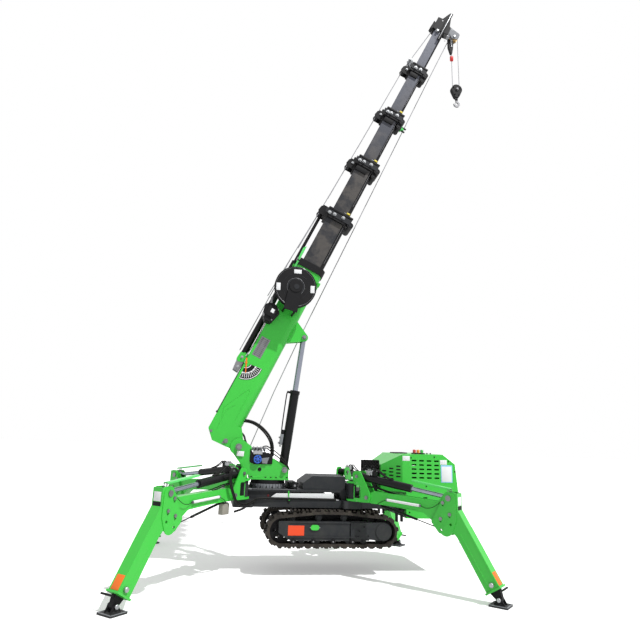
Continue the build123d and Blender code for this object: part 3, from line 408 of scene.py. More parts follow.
class CRANE_OT_stage(bpy.types.Operator):
    """Sets the camera, the floor, the backdrop and the lamps"""

    bl_idname = "crane.stage"
    bl_label = "Camera, floor and light"

    def execute(self, context):
        scene = context.scene
        camera = bpy.data.objects.new("camera", bpy.data.cameras.new("camera"))
        scene.collection.objects.link(camera)
        right = Vector((0.983307, -0.178434, 0.035621))
        up = Vector((-0.081943, -0.25947, 0.962268))
        ahead = Vector((0.162458, 0.949124, 0.26976))
        place = Matrix((right, up, -ahead)).transposed().to_4x4()
        place.translation = (-1.227816, -6.538966, 1.379)
        camera.matrix_world = place
        # focal length and middle of the view, in the pixels of a 640 wide frame
        wide, focal, middle_x, middle_y = 640, 553.64, 312.938, 282.88
        camera.data.sensor_width = 36
        camera.data.lens = focal / wide * 36
        camera.data.shift_x = (wide / 2 - middle_x) / wide
        camera.data.shift_y = (middle_y - wide / 2) / wide
        camera.data.clip_end = 200
        scene.camera = camera

        bm = bmesh.new()
        bmesh.ops.create_grid(bm, x_segments=1, y_segments=1, size=60)
        floor = drop(bm, "floor", self.white())

        world = bpy.data.worlds.new("studio")
        scene.world = world
        world.use_nodes = True
        shop = Shop(world.node_tree)
        # full white where the camera, a mirror or glass sees it, half as strong as light
        camera_ray = shop.node("ShaderNodeLightPath", out="Is Camera Ray")
        shown = camera_ray.larger(camera_ray.beside("Is Glossy Ray")).larger(camera_ray.beside("Is Transmission Ray"))
        back = shop.tree.nodes["Background"].inputs
        back["Color"].default_value = (1, 1, 1, 1)
        shop.join(shown * 0.50 + 0.50, back["Strength"])

        sun = bpy.data.objects.new("sun", bpy.data.lights.new("sun", "SUN"))
        sun.data.energy, sun.data.angle = 3.6, radians(1.2)
        scene.collection.objects.link(sun)
        way = -Vector((0.42, -0.50, 0.95))
        sun.matrix_world = Matrix.Translation(-way * 9) @ way.to_track_quat("-Z", "Y").to_matrix().to_4x4()
        scene.view_settings.view_transform = "Standard"
        return {"FINISHED"}

    @staticmethod
    def white():
        """Pale floor, white towards the camera and with the machine's shadow."""
        f = Finish("studio floor")
        shown = f.node("ShaderNodeLightPath", out="Is Camera Ray")
        f.set(Base_Color=f.blend(f.noise(0.8) * 0.1, (0.86, 0.86, 0.86), (0.82, 0.82, 0.82)), Roughness=0.9,
              Emission_Color=f.blend(shown, (0, 0, 0), (0.30, 0.30, 0.30)), Emission_Strength=1.0)
        return f.material


def drop(bm, name, material):
    """Puts a mesh into the scene as an object at the origin."""
    mesh = bpy.data.meshes.new(name)
    bm.to_mesh(mesh)
    bm.free()
    mesh.materials.append(material)
    made = bpy.data.objects.new(name, mesh)
    bpy.context.scene.collection.objects.link(made)
    return made


def on_boom(along, back=0.0, near=0.0):
    """Frame on the boom: x along it, y to its back, z to the near side."""
    place = Matrix((RUN, BACK, NEAR)).transposed().to_4x4()
    place.translation = PIVOT + RUN * along + BACK * back + NEAR * near
    return place


def on_side(x=0.0, z=0.0, near=0.0):
    """Upright frame of the machine's near side: x to the hood, y up, z to the near side."""
    place = Matrix(((1, 0, 0), (0, 0, 1), (0, -1, 0))).transposed().to_4x4()
    place.translation = (x, -near, z)
    return place


def on_top(x=0.0, y=0.0, z=0.0):
    """Level frame: x to the hood, y to the far side, z up."""
    return Matrix.Translation((x, y, z))


def mirrored(side):
    """Turns a frame's z outwards on either side: 1 keeps it, -1 mirrors it."""
    return Matrix.Diagonal((1, 1, side, 1))


def laid(place, points):
    """Points of a frame, in the machine's own frame."""
    return [place @ Vector(point) for point in points]


def on_outrigger(tag, out=0.0, height=0.0, side=0.0):
    """Frame in an outrigger's plane: x outward, y up, z across."""
    x, lean, turn = OUTRIGGERS[tag]
    outward = Vector((cos(radians(turn)), sin(radians(turn)), 0))
    up = Vector((0, 0, 1))
    across = outward.cross(up)
    place = Matrix((outward, up, across)).transposed().to_4x4()
    place.translation = Vector((x, lean * 0.33, 0)) + outward * out + up * height + across * side
    return place


def on_leg(tag, along=0.0, out=0.0, side=0.0):
    """Frame on a leg: x down it from the knee, y to its outer face, z across."""
    knee = on_outrigger(tag, *KNEE)
    tilt = Matrix(((sin(LEG_ANGLE), -cos(LEG_ANGLE), 0), (cos(LEG_ANGLE), sin(LEG_ANGLE), 0), (0, 0, 1)))
    return knee @ tilt.transposed().to_4x4() @ Matrix.Translation((along, out, side))


def once(items):
    """The items without repeats, in the same order on every run."""
    return list(dict.fromkeys(items))


def bar(bm, m, start, end, radius, sides=14, tip=None):
    """Round bar from start to end."""
    start, end = m @ Vector(start), m @ Vector(end)
    way = end - start
    turn = way.to_track_quat("Z", "Y").to_matrix().to_4x4()
    return bmesh.ops.create_cone(
        bm, cap_ends=True, segments=sides, radius1=radius, radius2=radius if tip is None else tip,
        depth=way.length, matrix=Matrix.Translation((start + end) / 2) @ turn)["verts"]


def block(bm, m, centre, size, edge=0.0015, segments=2):
    """Box with eased edges."""
    verts = bmesh.ops.create_cube(
        bm, size=1, matrix=m @ Matrix.Translation(centre) @ Matrix.Diagonal((*size, 1)))["verts"]
    if edge:
        edges = once(e for v in verts for e in v.link_edges)
        bmesh.ops.bevel(bm, geom=edges, offset=edge, affect="EDGES", segments=segments, profile=0.5,
                        material=-1)


def plate(bm, m, corners, low, high, edge=0.0012):
    """Flat plate drawn by its corners, between two heights of its frame."""
    verts = [bm.verts.new(m @ Vector((*corner, low))) for corner in corners]
    face = bm.faces.new(verts)
    made = bmesh.ops.extrude_face_region(bm, geom=[face], use_keep_orig=True)
    upper = [g for g in made["geom"] if isinstance(g, bmesh.types.BMVert)]
    bmesh.ops.translate(bm, verts=upper, vec=m.to_3x3() @ Vector((0, 0, high - low)))
    if edge:
        edges = [e for e in once(e for v in upper for e in v.link_edges) if all(v in upper for v in e.verts)]
        bmesh.ops.bevel(bm, geom=edges, offset=edge, affect="EDGES", segments=1, profile=0.5, material=-1)


def disc(bm, m, centre, radius, thick, sides=28, edge=0.0015):
    """Round plate whose axis is the frame's z."""
    x, y, z = centre
    verts = bar(bm, m, (x, y, z), (x, y, z + thick), radius, sides)
    if edge:
        faces = once(f for v in verts for f in v.link_faces if len(f.verts) == sides)
        edges = once(e for f in faces for e in f.edges)
        bmesh.ops.bevel(bm, geom=edges, offset=edge, affect="EDGES", segments=1, profile=0.5, material=-1)


def bolt(bm, m, spot, width=0.022, sides=6):
    """Hexagon head on its washer, standing on the frame's z."""
    x, y, z = spot
    bar(bm, m, (x, y, z - 0.001), (x, y, z + width * 0.14), width * 0.78, 14)
    bar(bm, m, (x, y, z + width * 0.14), (x, y, z + width * 0.72), width * 0.56, sides, width * 0.5)


def hoop(bm, m, radius, thick, sides=8, steps=64, angle=2 * pi):
    """Round wire bent about the frame's z, closed when it goes all the way."""
    start = bmesh.ops.create_circle(
        bm, segments=sides, radius=thick,
        matrix=m @ Matrix.Translation((radius, 0, 0)) @ Matrix.Rotation(pi / 2, 4, "X"))["verts"]
    edges = once(e for v in start for e in v.link_edges)
    bmesh.ops.spin(bm, geom=start + edges, cent=m.translation, axis=m.to_3x3() @ Vector((0, 0, 1)),
                   angle=angle, steps=steps, use_merge=abs(angle) == 2 * pi)


def slot(bm, m, spot, long, high, proud=0.0006):
    """Dark slot with round ends, lying on a face."""
    x, y = spot
    corners = []
    for end, turn in ((1, -90), (-1, 90)):
        for k in range(7):
            a = radians(turn + 30 * k)
            corners.append((x + end * (long - high) / 2 + high / 2 * cos(a), y + high / 2 * sin(a)))
    plate(bm, m, corners, 0, proud, 0)


class Bench:
    """Collects an operator's fittings, one mesh for each body and finish."""

    def __init__(self, name):
        self.name, self.meshes = name, {}

    def __call__(self, finish, body):
        if (finish, body) not in self.meshes:
            self.meshes[finish, body] = bmesh.new()
        return self.meshes[finish, body]

    def close(self):
        """Makes a piece of each mesh that has faces, riding on its body, and returns the pieces."""
        pieces = {}
        for (finish, body), bm in self.meshes.items():
            if not bm.faces:
                bm.free()
                continue
            bmesh.ops.recalc_face_normals(bm, faces=bm.faces)
            for face in bm.faces:
                face.smooth = True
            made = drop(bm, f"{self.name}_{finish}_{body}", FINISHES[finish])
            made.data.set_sharp_from_angle(angle=SHARP)
            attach(made, body)
            pieces[finish, body] = made
        return pieces


def hose(name, points, radius, body, finish="hose", ends=False, sides=3):
    """Smooth hose or pipe along a short route, with crimped ends if they are seen."""
    curve = bpy.data.curves.new(name, "CURVE")
    curve.dimensions = "3D"
    curve.bevel_depth, curve.bevel_resolution, curve.resolution_u = radius, sides, 10
    curve.use_fill_caps = True
    line = curve.splines.new("NURBS")
    line.points.add(len(points) - 1)
    for spot, point in zip(points, line.points):
        point.co = (*spot, 1)
    line.order_u, line.use_endpoint_u = 3, True
    curve.materials.append(FINISHES[finish])
    made = bpy.data.objects.new(name, curve)
    bpy.context.scene.collection.objects.link(made)
    if body:
        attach(made, body)
    if ends:
        bench = Bench(f"{name}_ends")
        bm = bench("zinc", body)
        for first, second in ((points[0], points[1]), (points[-1], points[-2])):
            way = (Vector(second) - Vector(first)).normalized()
            stay = Matrix.Identity(4)
            bar(bm, stay, Vector(first) - way * 0.004, Vector(first) + way * 0.040, radius * 1.28, 12)
            bar(bm, stay, Vector(first) - way * 0.016, Vector(first) + way * 0.006, radius * 1.45, 6)
        bench.close()
    return made


def crossing(name, points, radius):
    """Hose across the joint between two bodies, made into a plain mesh that rides on neither body."""
    made = hose(name, points, radius, None)
    mesh = bpy.data.meshes.new_from_object(made.evaluated_get(bpy.context.evaluated_depsgraph_get()))
    bpy.data.objects.remove(made)
    solid = bpy.data.objects.new(name, mesh)
    bpy.context.scene.collection.objects.link(solid)
    for face in mesh.polygons:
        face.use_smooth = True
    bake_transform(solid)


class CRANE_OT_boom(bpy.types.Operator):
    """Collars, rope guides, bolts, clamps and pads of the boom"""

    bl_idname = "crane.boom"
    bl_label = "Boom fittings"

    def execute(self, context):
        bench = Bench("boom")
        for number, (width, depth, end) in SECTIONS.items():
            if number < 6:
                self.collar(bench, number, width, depth, end)
        self.base(bench)
        bench.close()
        return {"FINISHED"}

    def collar(self, bench, number, width, depth, end):
        """Fittings of a sliding section's collar."""
        body = f"section_{number}"
        half, deep = width / 2 + 0.032, depth / 2 + 0.032
        black, zinc, dull = bench("matt", body), bench("zinc", body), bench("dull", body)
        for side in (1, -1):
            flip = mirrored(side)
            face = on_boom(end - 0.070, BOOM_AXIS, side * half) @ flip
            # raised upper rim, greyer band and the skirt below the collar
            block(black, face, (0.052, -0.004, 0.003), (0.030, 2 * deep - 0.012, 0.012), 0.003)
            plate(dull, face, ((-0.040, -deep + 0.012), (0.030, -deep + 0.012), (0.030, deep + 0.020),
                               (-0.022, deep + 0.020), (-0.040, deep - 0.030)), 0, 0.006)
            if number > 2:
                block(black, on_boom(end - 0.182, BOOM_AXIS + depth * 0.16, side * (width / 2 + 0.011)) @ flip,
                      (0, 0, 0), (0.082, depth * 0.66, 0.024), 0.003)
            for x, y in (((-0.012, 0.48), (-0.004, 0.24), (0.008, -0.18)) if number < 5 else
                         ((-0.006, 0.30), (0.004, -0.12))):
                bolt(zinc, face, (x, y * depth, 0.004), 0.030)
            # thin light steel line along the lower corner: a painted highlight on the edge
            bar(bench("steel", body), on_boom(0, BOOM_AXIS - depth * 0.38, side * (width / 2 + 0.001)),
                (end - 0.72, 0, 0), (end - 0.012, 0, 0), 0.0018, 6)
        if number > 2:
            block(black, on_boom(end - 0.182, BOOM_AXIS + depth / 2 + 0.012), (0, 0, 0), (0.082, 0.024, width),
                  0.003)
        # guide on the back: two cheeks, their floor and two rollers that the rope runs over
        back = on_boom(end - (0.155 if number > 2 else 0.070), BOOM_AXIS + depth / 2, 0)
        for z in (-width * 0.34, width * 0.34):
            plate(black, back @ Matrix.Translation((0, 0, z)),
                  ((-0.062, 0.002), (0.072, 0.030), (0.072, 0.098), (0.040, 0.126), (-0.022, 0.137),
                   (-0.062, 0.118)), -0.004, 0.004)
            if number > 2:
                bolt(zinc, back @ Matrix.Translation((0.018, 0.064, z + (0.004 if z > 0 else -0.004))) @
                     mirrored(1 if z > 0 else -1), (0, 0, 0), 0.020)
        block(dull, back, (0.070, 0.070, 0), (0.006, 0.070, width * 0.62), 0.001)
        for x, y in ((-0.040, 0.086), (0.045, 0.090)):
            bar(black, back, (x, y, -width * 0.33), (x, y, width * 0.33), 0.017, 18)
        # rollers across the underside
        rollers = ((-0.107, 0.041, width / 2 + 0.034), (-0.189, 0.034, width / 2 + 0.016))
        for x, r, reach in rollers if number > 2 else rollers[:1]:
            under = on_boom(end + x, BOOM_AXIS - depth / 2 - r + 0.010)
            bar(black, under, (0, 0, -reach), (0, 0, reach), r, 26)
            for s in (1, -1):
                bar(dull, under, (0, 0, s * reach), (0, 0, s * (reach + 0.002)), r * 0.42, 18)
        if number < 5:
            # yellow clamp with its dark strap over the collar
            clamp = on_boom(end + 0.020, BOOM_AXIS - depth * 0.30, half - 0.010)
            block(bench("yellow", body), clamp, (0.004, 0, 0), (0.024, 0.044, 0.024), 0.003)
            block(black, clamp, (-0.014, 0.006, -0.002), (0.014, 0.034, 0.022), 0.002)
            for y in (0.031, 0.046):
                bar(zinc, clamp, (-0.006, y, -0.010), (-0.006, y, 0.006), 0.005, 8)
        if number == 4:
            # green guide with a black eye round the rope
            guide = on_boom(end - 0.085, 0.048, ROPE_SIDE)
            block(bench("pale_green", body), guide, (0, 0.012, 0), (0.030, 0.092, 0.024), 0.002)
            block(bench("pale_green", body), guide, (-0.020, 0.002, 0.020), (0.070, 0.012, 0.050), 0.002)
            for x in (-0.026, 0.026):
                block(black, guide, (x, -0.034, 0), (0.010, 0.062, 0.030), 0.002)
        if number == 5:
            lug = on_boom(end - 0.020, BOOM_AXIS + deep - 0.004)
            for s in (1, -1):
                plate(bench("light_grey", body), lug @ Matrix.Translation((0, 0, s * 0.030)),
                      ((-0.060, 0), (0.055, 0), (0.098, 0.046), (0.098, 0.072), (0.070, 0.090), (-0.040, 0.030)),
                      -0.004, 0.004)
            bolt(zinc, lug, (0.068, 0.058, 0.034), 0.034)

    def base(self, bench):
        """Fittings of the boom's first section."""
        green, zinc, black, steel = (bench(f, "boom") for f in ("green", "zinc", "matt", "steel"))
        for side in (1, -1):
            flank = on_boom(0, 0, side * 0.120) @ mirrored(side)
            # pressed outline on the flank
            for path in (((0.205, 0.325), (0.307, 0.352), (0.605, 0.200), (0.585, 0.180), (0.232, 0.169)),
                         ((0.071, 0.307), (0.281, 0.318), (0.383, 0.253))):
                for first, last in zip(path, path[1:]):
                    bar(green, flank, (*first, -0.001), (*last, -0.001), 0.0046, 8)
            # green lip below the mouth
            block(green, flank, (2.100, 0.056, -0.028), (0.050, 0.034, 0.056), 0.004)
            # bright bracket on the back, split near its middle
            bright = bench("pale_green", "boom")
            back = on_boom(0, 0, side * 0.085) @ mirrored(side)
            plate(bright, back, ((2.164, 0.372), (2.262, 0.374), (2.262, 0.430), (2.164, 0.427)), -0.004, 0.004)
            plate(bright, back, ((2.276, 0.409), (2.481, 0.409), (2.443, 0.440), (2.276, 0.434)), -0.004, 0.004)
            block(black, back, (2.269, 0.402, 0.001), (0.013, 0.054, 0.009), 0.001)
            bar(steel, back, (2.250, 0.436, 0), (2.300, 0.436, 0), 0.008, 12)
        # motor box of the cable reel, with its grey fittings
        motor = on_boom(1.480, 0.395, 0.170)
        plate(black, motor, ((-0.105, -0.050), (0.040, -0.088), (0.105, -0.020), (0.120, 0.060), (0.060, 0.110),
                             (-0.050, 0.085), (-0.120, 0.030)), -0.050, 0.085, 0.010)
        block(black, motor, (0.010, 0.005, 0.092), (0.130, 0.110, 0.020), 0.008, 3)
        bar(steel, motor, (-0.075, 0.060, 0.075), (-0.045, 0.085, 0.075), 0.012, 12)
        bar(steel, motor, (0.100, 0.055, 0.080), (0.170, 0.080, 0.080), 0.014, 14)
        block(bench("white", "boom"), motor, (0.022, -0.002, 0.1025), (0.048, 0.040, 0.002), 0.0006)
        for x, y in ((-0.075, -0.040), (0.070, -0.050)):
            bolt(steel, motor, (x, y, 0.085), 0.012)
        # arm in front of the reel that carries its hub
        arm = on_boom(0, 0, 0.3385)
        plate(black, arm, ((1.862, 0.369), (1.885, 0.219), (1.600, 0.135), (1.575, 0.300)), 0, 0.010)
        for b in (0.168, 0.290):
            block(black, on_boom(1.598, b, 0.228), (0, 0, 0), (0.030, 0.022, 0.232), 0.003)
        disc(black, on_boom(1.880, 0.294, 0.3370), (0, 0, 0), 0.080, 0.019, 40, 0.005)
        disc(bench("dull", "boom"), on_boom(1.874, 0.284, 0.3560), (0, 0, 0), 0.032, 0.003, 26, 0.001)
        # terminal box and the green lug at the foot of the telescope cylinder
        for s in (1, -1):
            plate(bench("steel", "boom"), on_boom(0, 0, s * 0.060), ((0.868, 0.491), (0.726, 0.476), (0.719, 0.408),
                                                                   (0.850, 0.400)), -0.005, 0.005)
            bolt(zinc, on_boom(0.775, 0.438, s * 0.065) @ mirrored(s), (0, 0, 0), 0.022)
            plate(green, on_boom(0, 0, s * 0.062), ((0.950, 0.400), (0.940, 0.490), (0.860, 0.497), (0.826, 0.470),
                                                   (0.850, 0.396)), -0.007, 0.007)
            bolt(zinc, on_boom(0.893, 0.448, s * 0.069) @ mirrored(s), (0, 0, 0), 0.022)
        # cable laid along the back edge, pins of the boom's foot and of its ears
        bar(black, on_boom(0, 0, 0.112), (0.223, 0.396, 0), (0.840, 0.396, 0), 0.0045, 8)
        disc(black, on_boom(0.223, 0.396, 0.106), (0, 0, 0), 0.013, 0.012, 16)
        for side in (1, -1):
            face = on_boom(0, 0, side * BOOM_SIDE) @ mirrored(side)
            bolt(steel, face, (0.012, 0.352, 0), 0.020)
            bolt(steel, face, (-0.010, 0.156, 0), 0.034, 12)
            bolt(steel, face, (-0.040, 0.176, 0), 0.013)


class CRANE_OT_signs(bpy.types.Operator):
    """Blank plates, the chart's dark plate and the boom's angle scale"""

    bl_idname = "crane.signs"
    bl_label = "Blank plates and angle scale"

    def execute(self, context):
        bench = Bench("signs")
        face = on_boom(0, 0, BOOM_SIDE)
        # dark chart plate with faint ruled lines
        chart = bench("steel", "boom")
        plate(chart, face, ((0.966, 0.250), (1.212, 0.250), (1.212, 0.362), (0.966, 0.362)), 0, 0.002)
        for k in range(1, 12):
            block(bench("dull", "boom"), face, (0.966 + 0.0205 * k, 0.306, 0.0024), (0.0035, 0.100, 0.0008), 0)
        for y in (0.278, 0.334):
            block(bench("dull", "boom"), face, (1.089, y, 0.0024), (0.236, 0.003, 0.0008), 0)
        self.scale(bench, face)
        # blank labels of the reel, column, tracks and outriggers
        for a, b, turn in ((2.051, 0.355, 25), (1.777, 0.472, 115), (1.942, 0.103, -65)):
            spot = on_boom(a, b, 0.3318) @ Matrix.Rotation(radians(turn), 4, "Z")
            block(bench("white", "reel"), spot, (0, 0, 0), (0.048, 0.088, 0.0018), 0.0006)
        label = on_side(-0.871, 1.188, 0.1640) @ Matrix.Rotation(-0.05, 4, "Z")
        block(bench("white", "turret"), label, (0, 0, 0), (0.078, 0.054, 0.0018), 0.0006)
        for side in (1, -1):
            patch = on_side(0, 0, side * 0.3842) @ mirrored(side)
            plate(bench("patch", "base"), patch, ((-0.340, 0.400), (-0.170, 0.400), (-0.170, 0.497), (-0.340, 0.497)),
                  0, 0.0016)
        for tag in OUTRIGGERS:
            cap = on_outrigger(tag, 1.2035, 0)
            block(bench("white", f"leg_{tag}"), cap, (0.0005, 0.842, 0), (0.002, 0.078, 0.085), 0.0005)
            block(bench("matt", f"leg_{tag}"), cap, (0.0005, 0.781, 0), (0.002, 0.034, 0.096), 0.0005)
            block(bench("orange", f"leg_{tag}"), on_leg(tag, 0.765, 0.0240, 0), (0, 0, 0),
                  (0.115, 0.002, 0.090), 0.0005)
        bench.close()
        return {"FINISHED"}

    @staticmethod
    def scale(bench, face):
        """Fan of degree marks round a hanging pointer, black and white."""
        hub, radius = Vector((0.851, 0.372)), 0.196
        start, stop = radians(184), radians(276)
        steps = 16
        arc = [start + (stop - start) * k / steps for k in range(steps + 1)]

        def ring(finish, inner, outer, low, high, turn=arc):
            rim = [(hub.x + radius * outer * cos(a), hub.y + radius * outer * sin(a)) for a in turn]
            rim += [(hub.x + radius * inner * cos(a), hub.y + radius * inner * sin(a)) for a in reversed(turn)]
            plate(bench(finish, "boom"), face, rim, low, high, 0)

        ring("matt", 0.24, 1.00, 0, 0.0015)
        ring("white", 0.28, 0.97, 0.0016, 0.0022)
        ring("matt", 0.32, 0.56, 0.0023, 0.0029)
        ring("matt", 0.88, 0.93, 0.0023, 0.0029)
        for k in range(11):
            a = start + (stop - start) * (k + 0.5) / 11
            ring("matt", 0.60 if k % 2 else 0.64, 0.88, 0.0023, 0.0029, [a - 0.052, a, a + 0.052])
        plumb = Vector((-sin(BOOM_LEAN), -cos(BOOM_LEAN)))
        across = Vector((-plumb.y, plumb.x)) * 0.008
        needle = bench("orange", "boom")
        plate(needle, face, (tuple(hub - across - plumb * 0.055), tuple(hub + across - plumb * 0.055),
                             tuple(hub + across * 0.6 + plumb * radius * 0.60),
                             tuple(hub - across * 0.6 + plumb * radius * 0.60)), 0.004, 0.006, 0)
        disc(needle, face, (*hub, 0.003), 0.013, 0.006, 16)


class CRANE_OT_reel(bpy.types.Operator):
    """Rims, hub and wound cable of the reel"""

    bl_idname = "crane.reel"
    bl_label = "Cable reel"

    def execute(self, context):
        bench = Bench("reel")
        black, dull, steel = bench("black", "reel"), bench("dull", "reel"), bench("steel", "reel")
        centre = on_boom(*REEL, 0.300)

        for face in (centre @ Matrix.Translation((0, 0, 0.031)),
                     centre @ Matrix.Diagonal((1, -1, -1, 1)) @ Matrix.Translation((0, 0, 0.031))):
            hoop(black, face, 0.2410, 0.0060)
            hoop(steel, face, 0.2325, 0.0022, 6)
            hoop(dull, face, 0.155, 0.0022, 6)
            disc(dull, face, (0, 0, -0.002), 0.105, 0.006, 44, 0.003)
            hoop(steel, face @ Matrix.Translation((0, 0, 0.003)), 0.104, 0.0016, 6)
        bench.close()
        # cable wound between the flanges, one ring of turns beside the other
        coil = Bench("reel_cable")
        bm = coil("hose", "reel")
        for layer in range(2):
            for turn in range(4):
                place = centre @ Matrix.Translation((0, 0, -0.0185 + 0.0123 * turn))
                hoop(bm, place, 0.1935 + 0.0105 * layer, 0.0060, 8, 48)
        coil.close()
        return {"FINISHED"}


class CRANE_OT_ropes(bpy.types.Operator):
    """Hoist rope from the winch to the falls, and the rope along the boom's back"""

    bl_idname = "crane.ropes"
    bl_label = "Ropes"

    def execute(self, context):
        radius = context.scene.crane_sizes.rope / 2
        bench = Bench("rope")

        def along(body, first, last):
            bar(bench("rope", body), on_boom(0, 0, 0), first, last, radius, 8)

        def front(a):
            """Point of the rope in front of the boom; it nears the middle plane on the last stretch."""
            across = ROPE_SIDE if a < 5.8 else ROPE_SIDE * (6.58 - a) / 0.78
            return (a, -0.055 + (a - 1.335) * 0.0198, across)

        # each section carries the rope from inside the last section's reach to its own end
        along("boom", (0.081, -0.125, ROPE_SIDE), (0.727, -0.080, ROPE_SIDE))
        along("boom", (0.727, -0.080, ROPE_SIDE), front(1.335))
        along("boom", front(1.335), front(3.10))
        ends = [2.300] + [SECTIONS[n][2] for n in (2, 3, 4, 5)] + [5.80]
        for number, start, end in zip((2, 3, 4, 5), ends, ends[1:]):
            along(f"section_{number}", front(start - 0.55), front(end + 0.02))
        along("section_6", front(5.18), front(5.80))
        along("section_6", front(5.80), front(6.575))
        # round the head sheave to the front fall
        hub = on_boom(*HEAD_SHEAVE) @ Matrix.Rotation(radians(90), 4, "Z")
        hoop(bench("rope", "section_6"), hub, 0.0505, radius, 8, 18, -radians(155))
        # rope on the boom's back, over the guides' rollers, and its lower run beside the cylinder
        backs = [(2.300, 0.512)] + [
            (SECTIONS[n][2] - (0.150 if n > 2 else 0.065), BOOM_AXIS + SECTIONS[n][1] / 2 + 0.110)
            for n in (2, 3, 4, 5)]
        along("boom", (0.960, 0.512, 0.0), (*backs[0], 0.0))
        for number, first, last in zip((2, 3, 4, 5), backs, backs[1:]):
            slope = (last[1] - first[1]) / (last[0] - first[0])
            along(f"section_{number}", (first[0] - 0.60, first[1] - 0.60 * slope, 0.0), (*last, 0.0))
        along("section_6", (*backs[-1], 0.0), (6.60, 0.318, 0.0))
        bench.close()
        # turns on the winch drum, and the lead from the drum up to the boom's foot
        coil = Bench("winch")
        bm = coil("rope", "winch")
        for layer, count in ((0, 9), (1, 9), (2, 4)):
            for turn in range(count):
                place = on_side(*WINCH, -0.044 + 0.0104 * turn)
                hoop(bm, place, 0.060 + 0.0095 * layer, 0.0052, 6, 28, -2 * pi)
        coil.close()
        lead = bmesh.new()
        top = on_boom(0.081, -0.125, ROPE_SIDE).translation
        foot = Vector((-0.715, 0.03, 1.062))
        bar(lead, Matrix.Identity(4), foot, top, radius, 8)
        bmesh.ops.subdivide_edges(lead, edges=[e for e in lead.edges if e.calc_length() > 0.1], cuts=6)
        piece = drop(lead, "rope_lead", FINISHES["rope"])
        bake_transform(piece)
        return {"FINISHED"}


class CRANE_OT_head(bpy.types.Operator):
    """Bolts, wedge socket and clip of the boom's head, and the hook block's bolts"""

    bl_idname = "crane.head"
    bl_label = "Boom head and hook block"

    def execute(self, context):
        bench = Bench("head")
        body = "section_6"
        black, zinc, grey, steel = (bench(f, body) for f in ("matt", "zinc", "light_grey", "steel"))
        for side in (1, -1):
            face = on_boom(0, 0, side * 0.0525) @ mirrored(side)
            bolt(zinc, face, (6.485, 0.262, 0), 0.036)
            bolt(steel, face, (6.690, 0.262, 0), 0.018)
            bolt(zinc, face, (6.547, 0.001, 0), 0.034)
            for a, b in ((6.640, 0.075), (6.500, 0.090)):
                bolt(steel, face, (a, b, -0.004), 0.016)
            # box round the rail, and the pale sheave bracket
            plate(black, face, ((6.475, 0.225), (6.735, 0.225), (6.720, 0.345), (6.500, 0.345)), 0.000, 0.012, 0.003)
            plate(grey, face, ((6.655, 0.100), (6.640, -0.045), (6.600, -0.062), (6.530, -0.052), (6.500, 0.020),
                               (6.560, 0.095)), -0.001, 0.005, 0.002)
        # plate on the back of the head
        plate(black, on_boom(0), ((6.460, 0.300), (6.600, 0.312), (6.640, 0.372), (6.500, 0.380)), -0.044, 0.044)
        # long rail beside the box, black with a bright face
        rail = on_boom(6.608, 0.190, 0.0690)
        block(black, rail, (0, 0, 0), (0.546, 0.044, 0.024), 0.003)
        block(zinc, rail, (0, 0.001, 0.0125), (0.530, 0.007, 0.003), 0.0006)
        # wedge socket on the standing fall, with its pin; a light grey plate and two small zinc bars paint the
        # chain-like highlights on its face
        hub = on_boom(*HEAD_SHEAVE).translation
        x = hub.x - 0.0513
        still = Matrix.Identity(4)
        plate(black, on_side(x, hub.z, 0.019), ((-0.052, -0.050), (0.030, -0.062), (0.024, -0.200), (0.006, -0.300),
                                              (-0.018, -0.300), (-0.050, -0.190)), -0.038, 0.0, 0.004)
        # light grey plate on the socket's face: a painted highlight
        plate(grey, on_side(x, hub.z, 0.0195), ((-0.022, 0.020), (0.010, 0.030), (0.014, -0.090), (-0.004, -0.200),
                                               (-0.020, -0.120)), 0, 0.006, 0.002)
        bar(zinc, still, (x, -0.034, hub.z - 0.085), (x, 0.034, hub.z - 0.085), 0.012)
        # two small zinc bars: painted chain-like highlights on the socket
        for dz in (0.125, 0.175):
            bar(zinc, still, (x - 0.004, -0.029, hub.z - dz), (x - 0.004, -0.019, hub.z - dz), 0.009, 10)
        red = bench("red", "fall")
        block(red, still, (x, 0, hub.z - 0.372), (0.046, 0.036, 0.082), 0.010, 3)
        for dz in (-0.020, 0.020):
            bar(bench("steel", "fall"), still, (x - 0.026, 0, hub.z - 0.372 + dz),
                (x + 0.026, 0, hub.z - 0.372 + dz), 0.005, 8)
        # hook block
        low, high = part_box("hook_block")
        centre = Vector(((low.x + high.x) / 2, 0, high.z - 0.078))
        dark, black = bench("steel", "fall"), bench("matt", "fall")
        for side in (1, -1):
            face = on_side(centre.x, centre.z, side * 0.034) @ mirrored(side)
            disc(black, face, (0, 0, 0), 0.034, 0.005, 24)
            bolt(dark, face, (0, 0, 0.005), 0.022)
            for x, z in ((-0.050, 0.030), (0.050, 0.030), (-0.032, -0.085), (0.032, -0.085)):
                bolt(black, face, (x, z, 0), 0.015)
        # safety latch across the hook's mouth
        hook_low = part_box("hook")[0]
        eye = Vector(((low.x + high.x) / 2, 0, hook_low.z + 0.047))
        latch = bench("zinc", "load_hook")
        place = Matrix.Translation(eye)
        block(latch, place @ Matrix.Rotation(radians(-52), 4, "Y"), (-0.030, 0, 0.012), (0.052, 0.012, 0.004), 0.001)
        bar(latch, place, (-0.006, -0.016, 0.040), (-0.006, 0.016, 0.040), 0.004, 8)
        nut = bench("matt", "load_hook")
        bar(nut, place, (0, 0, 0.062), (0, 0, 0.084), 0.020, 16)
        bench.close()
        return {"FINISHED"}


